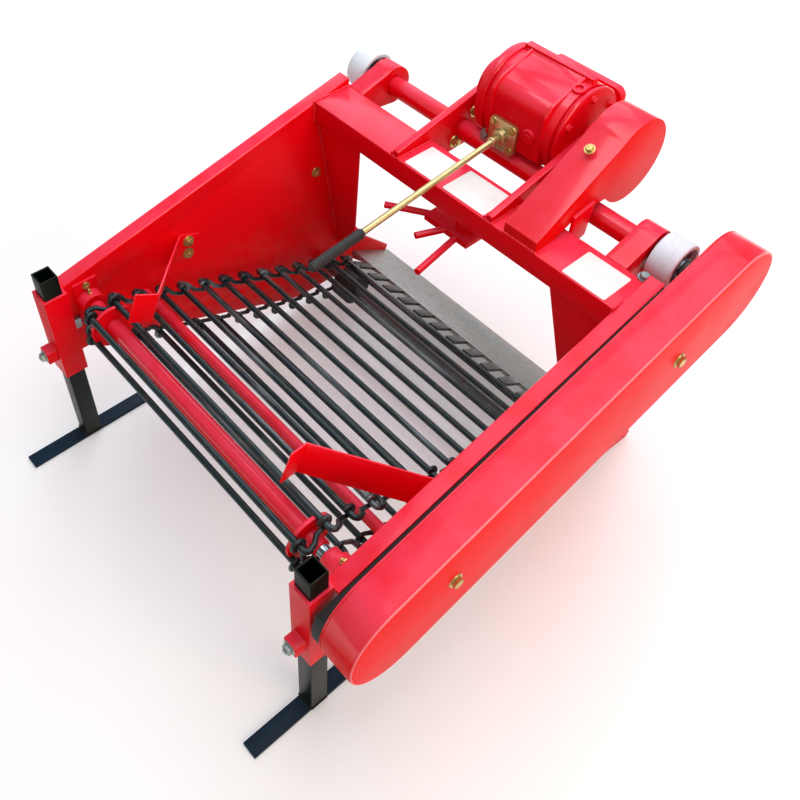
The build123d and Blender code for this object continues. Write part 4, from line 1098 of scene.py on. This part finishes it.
# %% Floor
def white_for_view(tree):
    """1 for rays that the eye sees, directly or in a shiny surface."""
    rays = add(tree, "ShaderNodeLightPath").outputs
    seen = rays["Is Camera Ray"]
    for extra in ("Is Glossy Ray", "Is Transmission Ray"):
        seen = add(tree, "ShaderNodeMath", [(0, seen), (1, rays[extra])],
                   operation="MAXIMUM").outputs[0]
    return seen


FLOOR_SIZE, NEAR, FAR, NEAR_GLOW, FAR_GLOW = 14, 0.9, 3.0, 0.2, 0.9
bpy.ops.mesh.primitive_plane_add(size=FLOOR_SIZE)
floor = bpy.context.object
floor.name = "floor"
pale = Finish("pale floor", (255, 255, 255), 0.9, shine=0.0)
pale.surface.inputs["Base Color"].default_value = (0.8, 0.8, 0.8, 1)
pale.surface.inputs["Emission Color"].default_value = (1, 1, 1, 1)
reach = add(pale.tree, "ShaderNodeVectorMath", [(0, pale.place)], operation="LENGTH")
fade = add(pale.tree, "ShaderNodeMapRange", [
    ("Value", reach.outputs["Value"]), ("From Min", NEAR), ("From Max", FAR),
    ("To Min", NEAR_GLOW), ("To Max", FAR_GLOW)])
glow = pale.times(white_for_view(pale.tree), fade.outputs["Result"])
pale.tree.links.new(glow, pale.surface.inputs["Emission Strength"])
floor.data.materials.append(pale.material)
print("floor:", FLOOR_SIZE, "m wide")

# %% Sky and lamps
SKY_LIGHT, SKY_SEEN = 0.42, 1.0
sky = bpy.data.worlds.new("sky")
bpy.context.scene.world = sky
sky.use_nodes = True
light = sky.node_tree.nodes["Background"]
light.inputs["Color"].default_value = (1, 1, 1, 1)
seen = add(sky.node_tree, "ShaderNodeLightPath")
level = add(sky.node_tree, "ShaderNodeMapRange", [
    ("Value", seen.outputs["Is Camera Ray"]), ("To Min", SKY_LIGHT), ("To Max", SKY_SEEN)])
sky.node_tree.links.new(level.outputs["Result"], light.inputs["Strength"])


def soft_lamp(name, place, aim, size, power, tint):
    """Square lamp at a place in metres, turned to its aim."""
    lamp = bpy.data.lights.new(name, "AREA")
    lamp.color = tint
    lamp.shape = "SQUARE"
    lamp.size = size
    lamp.energy = power
    holder = bpy.data.objects.new(name, lamp)
    bpy.context.scene.collection.objects.link(holder)
    holder.location = place
    holder.rotation_euler = (Vector(aim) - Vector(place)).to_track_quat("-Z", "Y").to_euler()
    print("lamp:", name, power, "W")


soft_lamp("overhead", (0.2, 0.3, 2.6), (0, 0, 0.2), 2.2, 44, (0.95, 0.94, 1))
soft_lamp("right side", (2.6, 0.1, 1.2), (0.3, 0, 0.3), 1.6, 30, (1, 0.84, 0.62))
soft_lamp("front sky", (-1.9, 2.0, 2.2), (0, 0, 0.4), 2.4, 44, (0.84, 0.88, 1))

# %% [markdown]
# The camera stands where the photographer stood: to the right and behind, looking down at 47
# degrees. Place and turn were found by matching corners in the photograph, which is also stretched
# sideways by a third. The machine is shown here at its real proportions. The lens is chosen so that
# the machine fills the square, and the shift centres it.

# %% Camera
yaw, pitch, roll = (math.radians(a) for a in (47.246, -46.941, 2.083))
look = Vector((-math.sin(yaw) * math.cos(pitch), math.cos(yaw) * math.cos(pitch), math.sin(pitch)))
side_way = Vector((math.cos(yaw), math.sin(yaw), 0))
up_way = side_way.cross(look)
right_way = side_way * math.cos(roll) + up_way * math.sin(roll)
top_way = up_way * math.cos(roll) - side_way * math.sin(roll)
stand = spot(720.6, -379.5, 1392.5)

lens = bpy.data.cameras.new("camera")
camera = bpy.data.objects.new("camera", lens)
bpy.context.scene.collection.objects.link(camera)
bpy.context.scene.camera = camera
turn = Matrix((right_way, top_way, -look)).transposed()
camera.matrix_world = Matrix.Translation(stand) @ turn.to_4x4()
print("camera stands at", [round(v, 3) for v in stand])

# %% Lens and shift
SENSOR, FILLED = 36.0, 0.93
lens.sensor_width = SENSOR
seen_x, seen_y = [], []
for solid in frame["nodes"].values():
    for vertex in solid.data.vertices:
        ray = vertex.co - stand
        seen_x.append(ray.dot(right_way) / ray.dot(look))
        seen_y.append(ray.dot(top_way) / ray.dot(look))
spread = max(max(seen_x) - min(seen_x), max(seen_y) - min(seen_y))
lens.lens = SENSOR * FILLED / spread
lens.shift_x = (max(seen_x) + min(seen_x)) / 2 * lens.lens / SENSOR
lens.shift_y = (max(seen_y) + min(seen_y)) / 2 * lens.lens / SENSOR
bpy.context.scene.view_settings.view_transform = "Standard"
print("lens", round(lens.lens, 2), "shift", round(lens.shift_x, 3), round(lens.shift_y, 3))
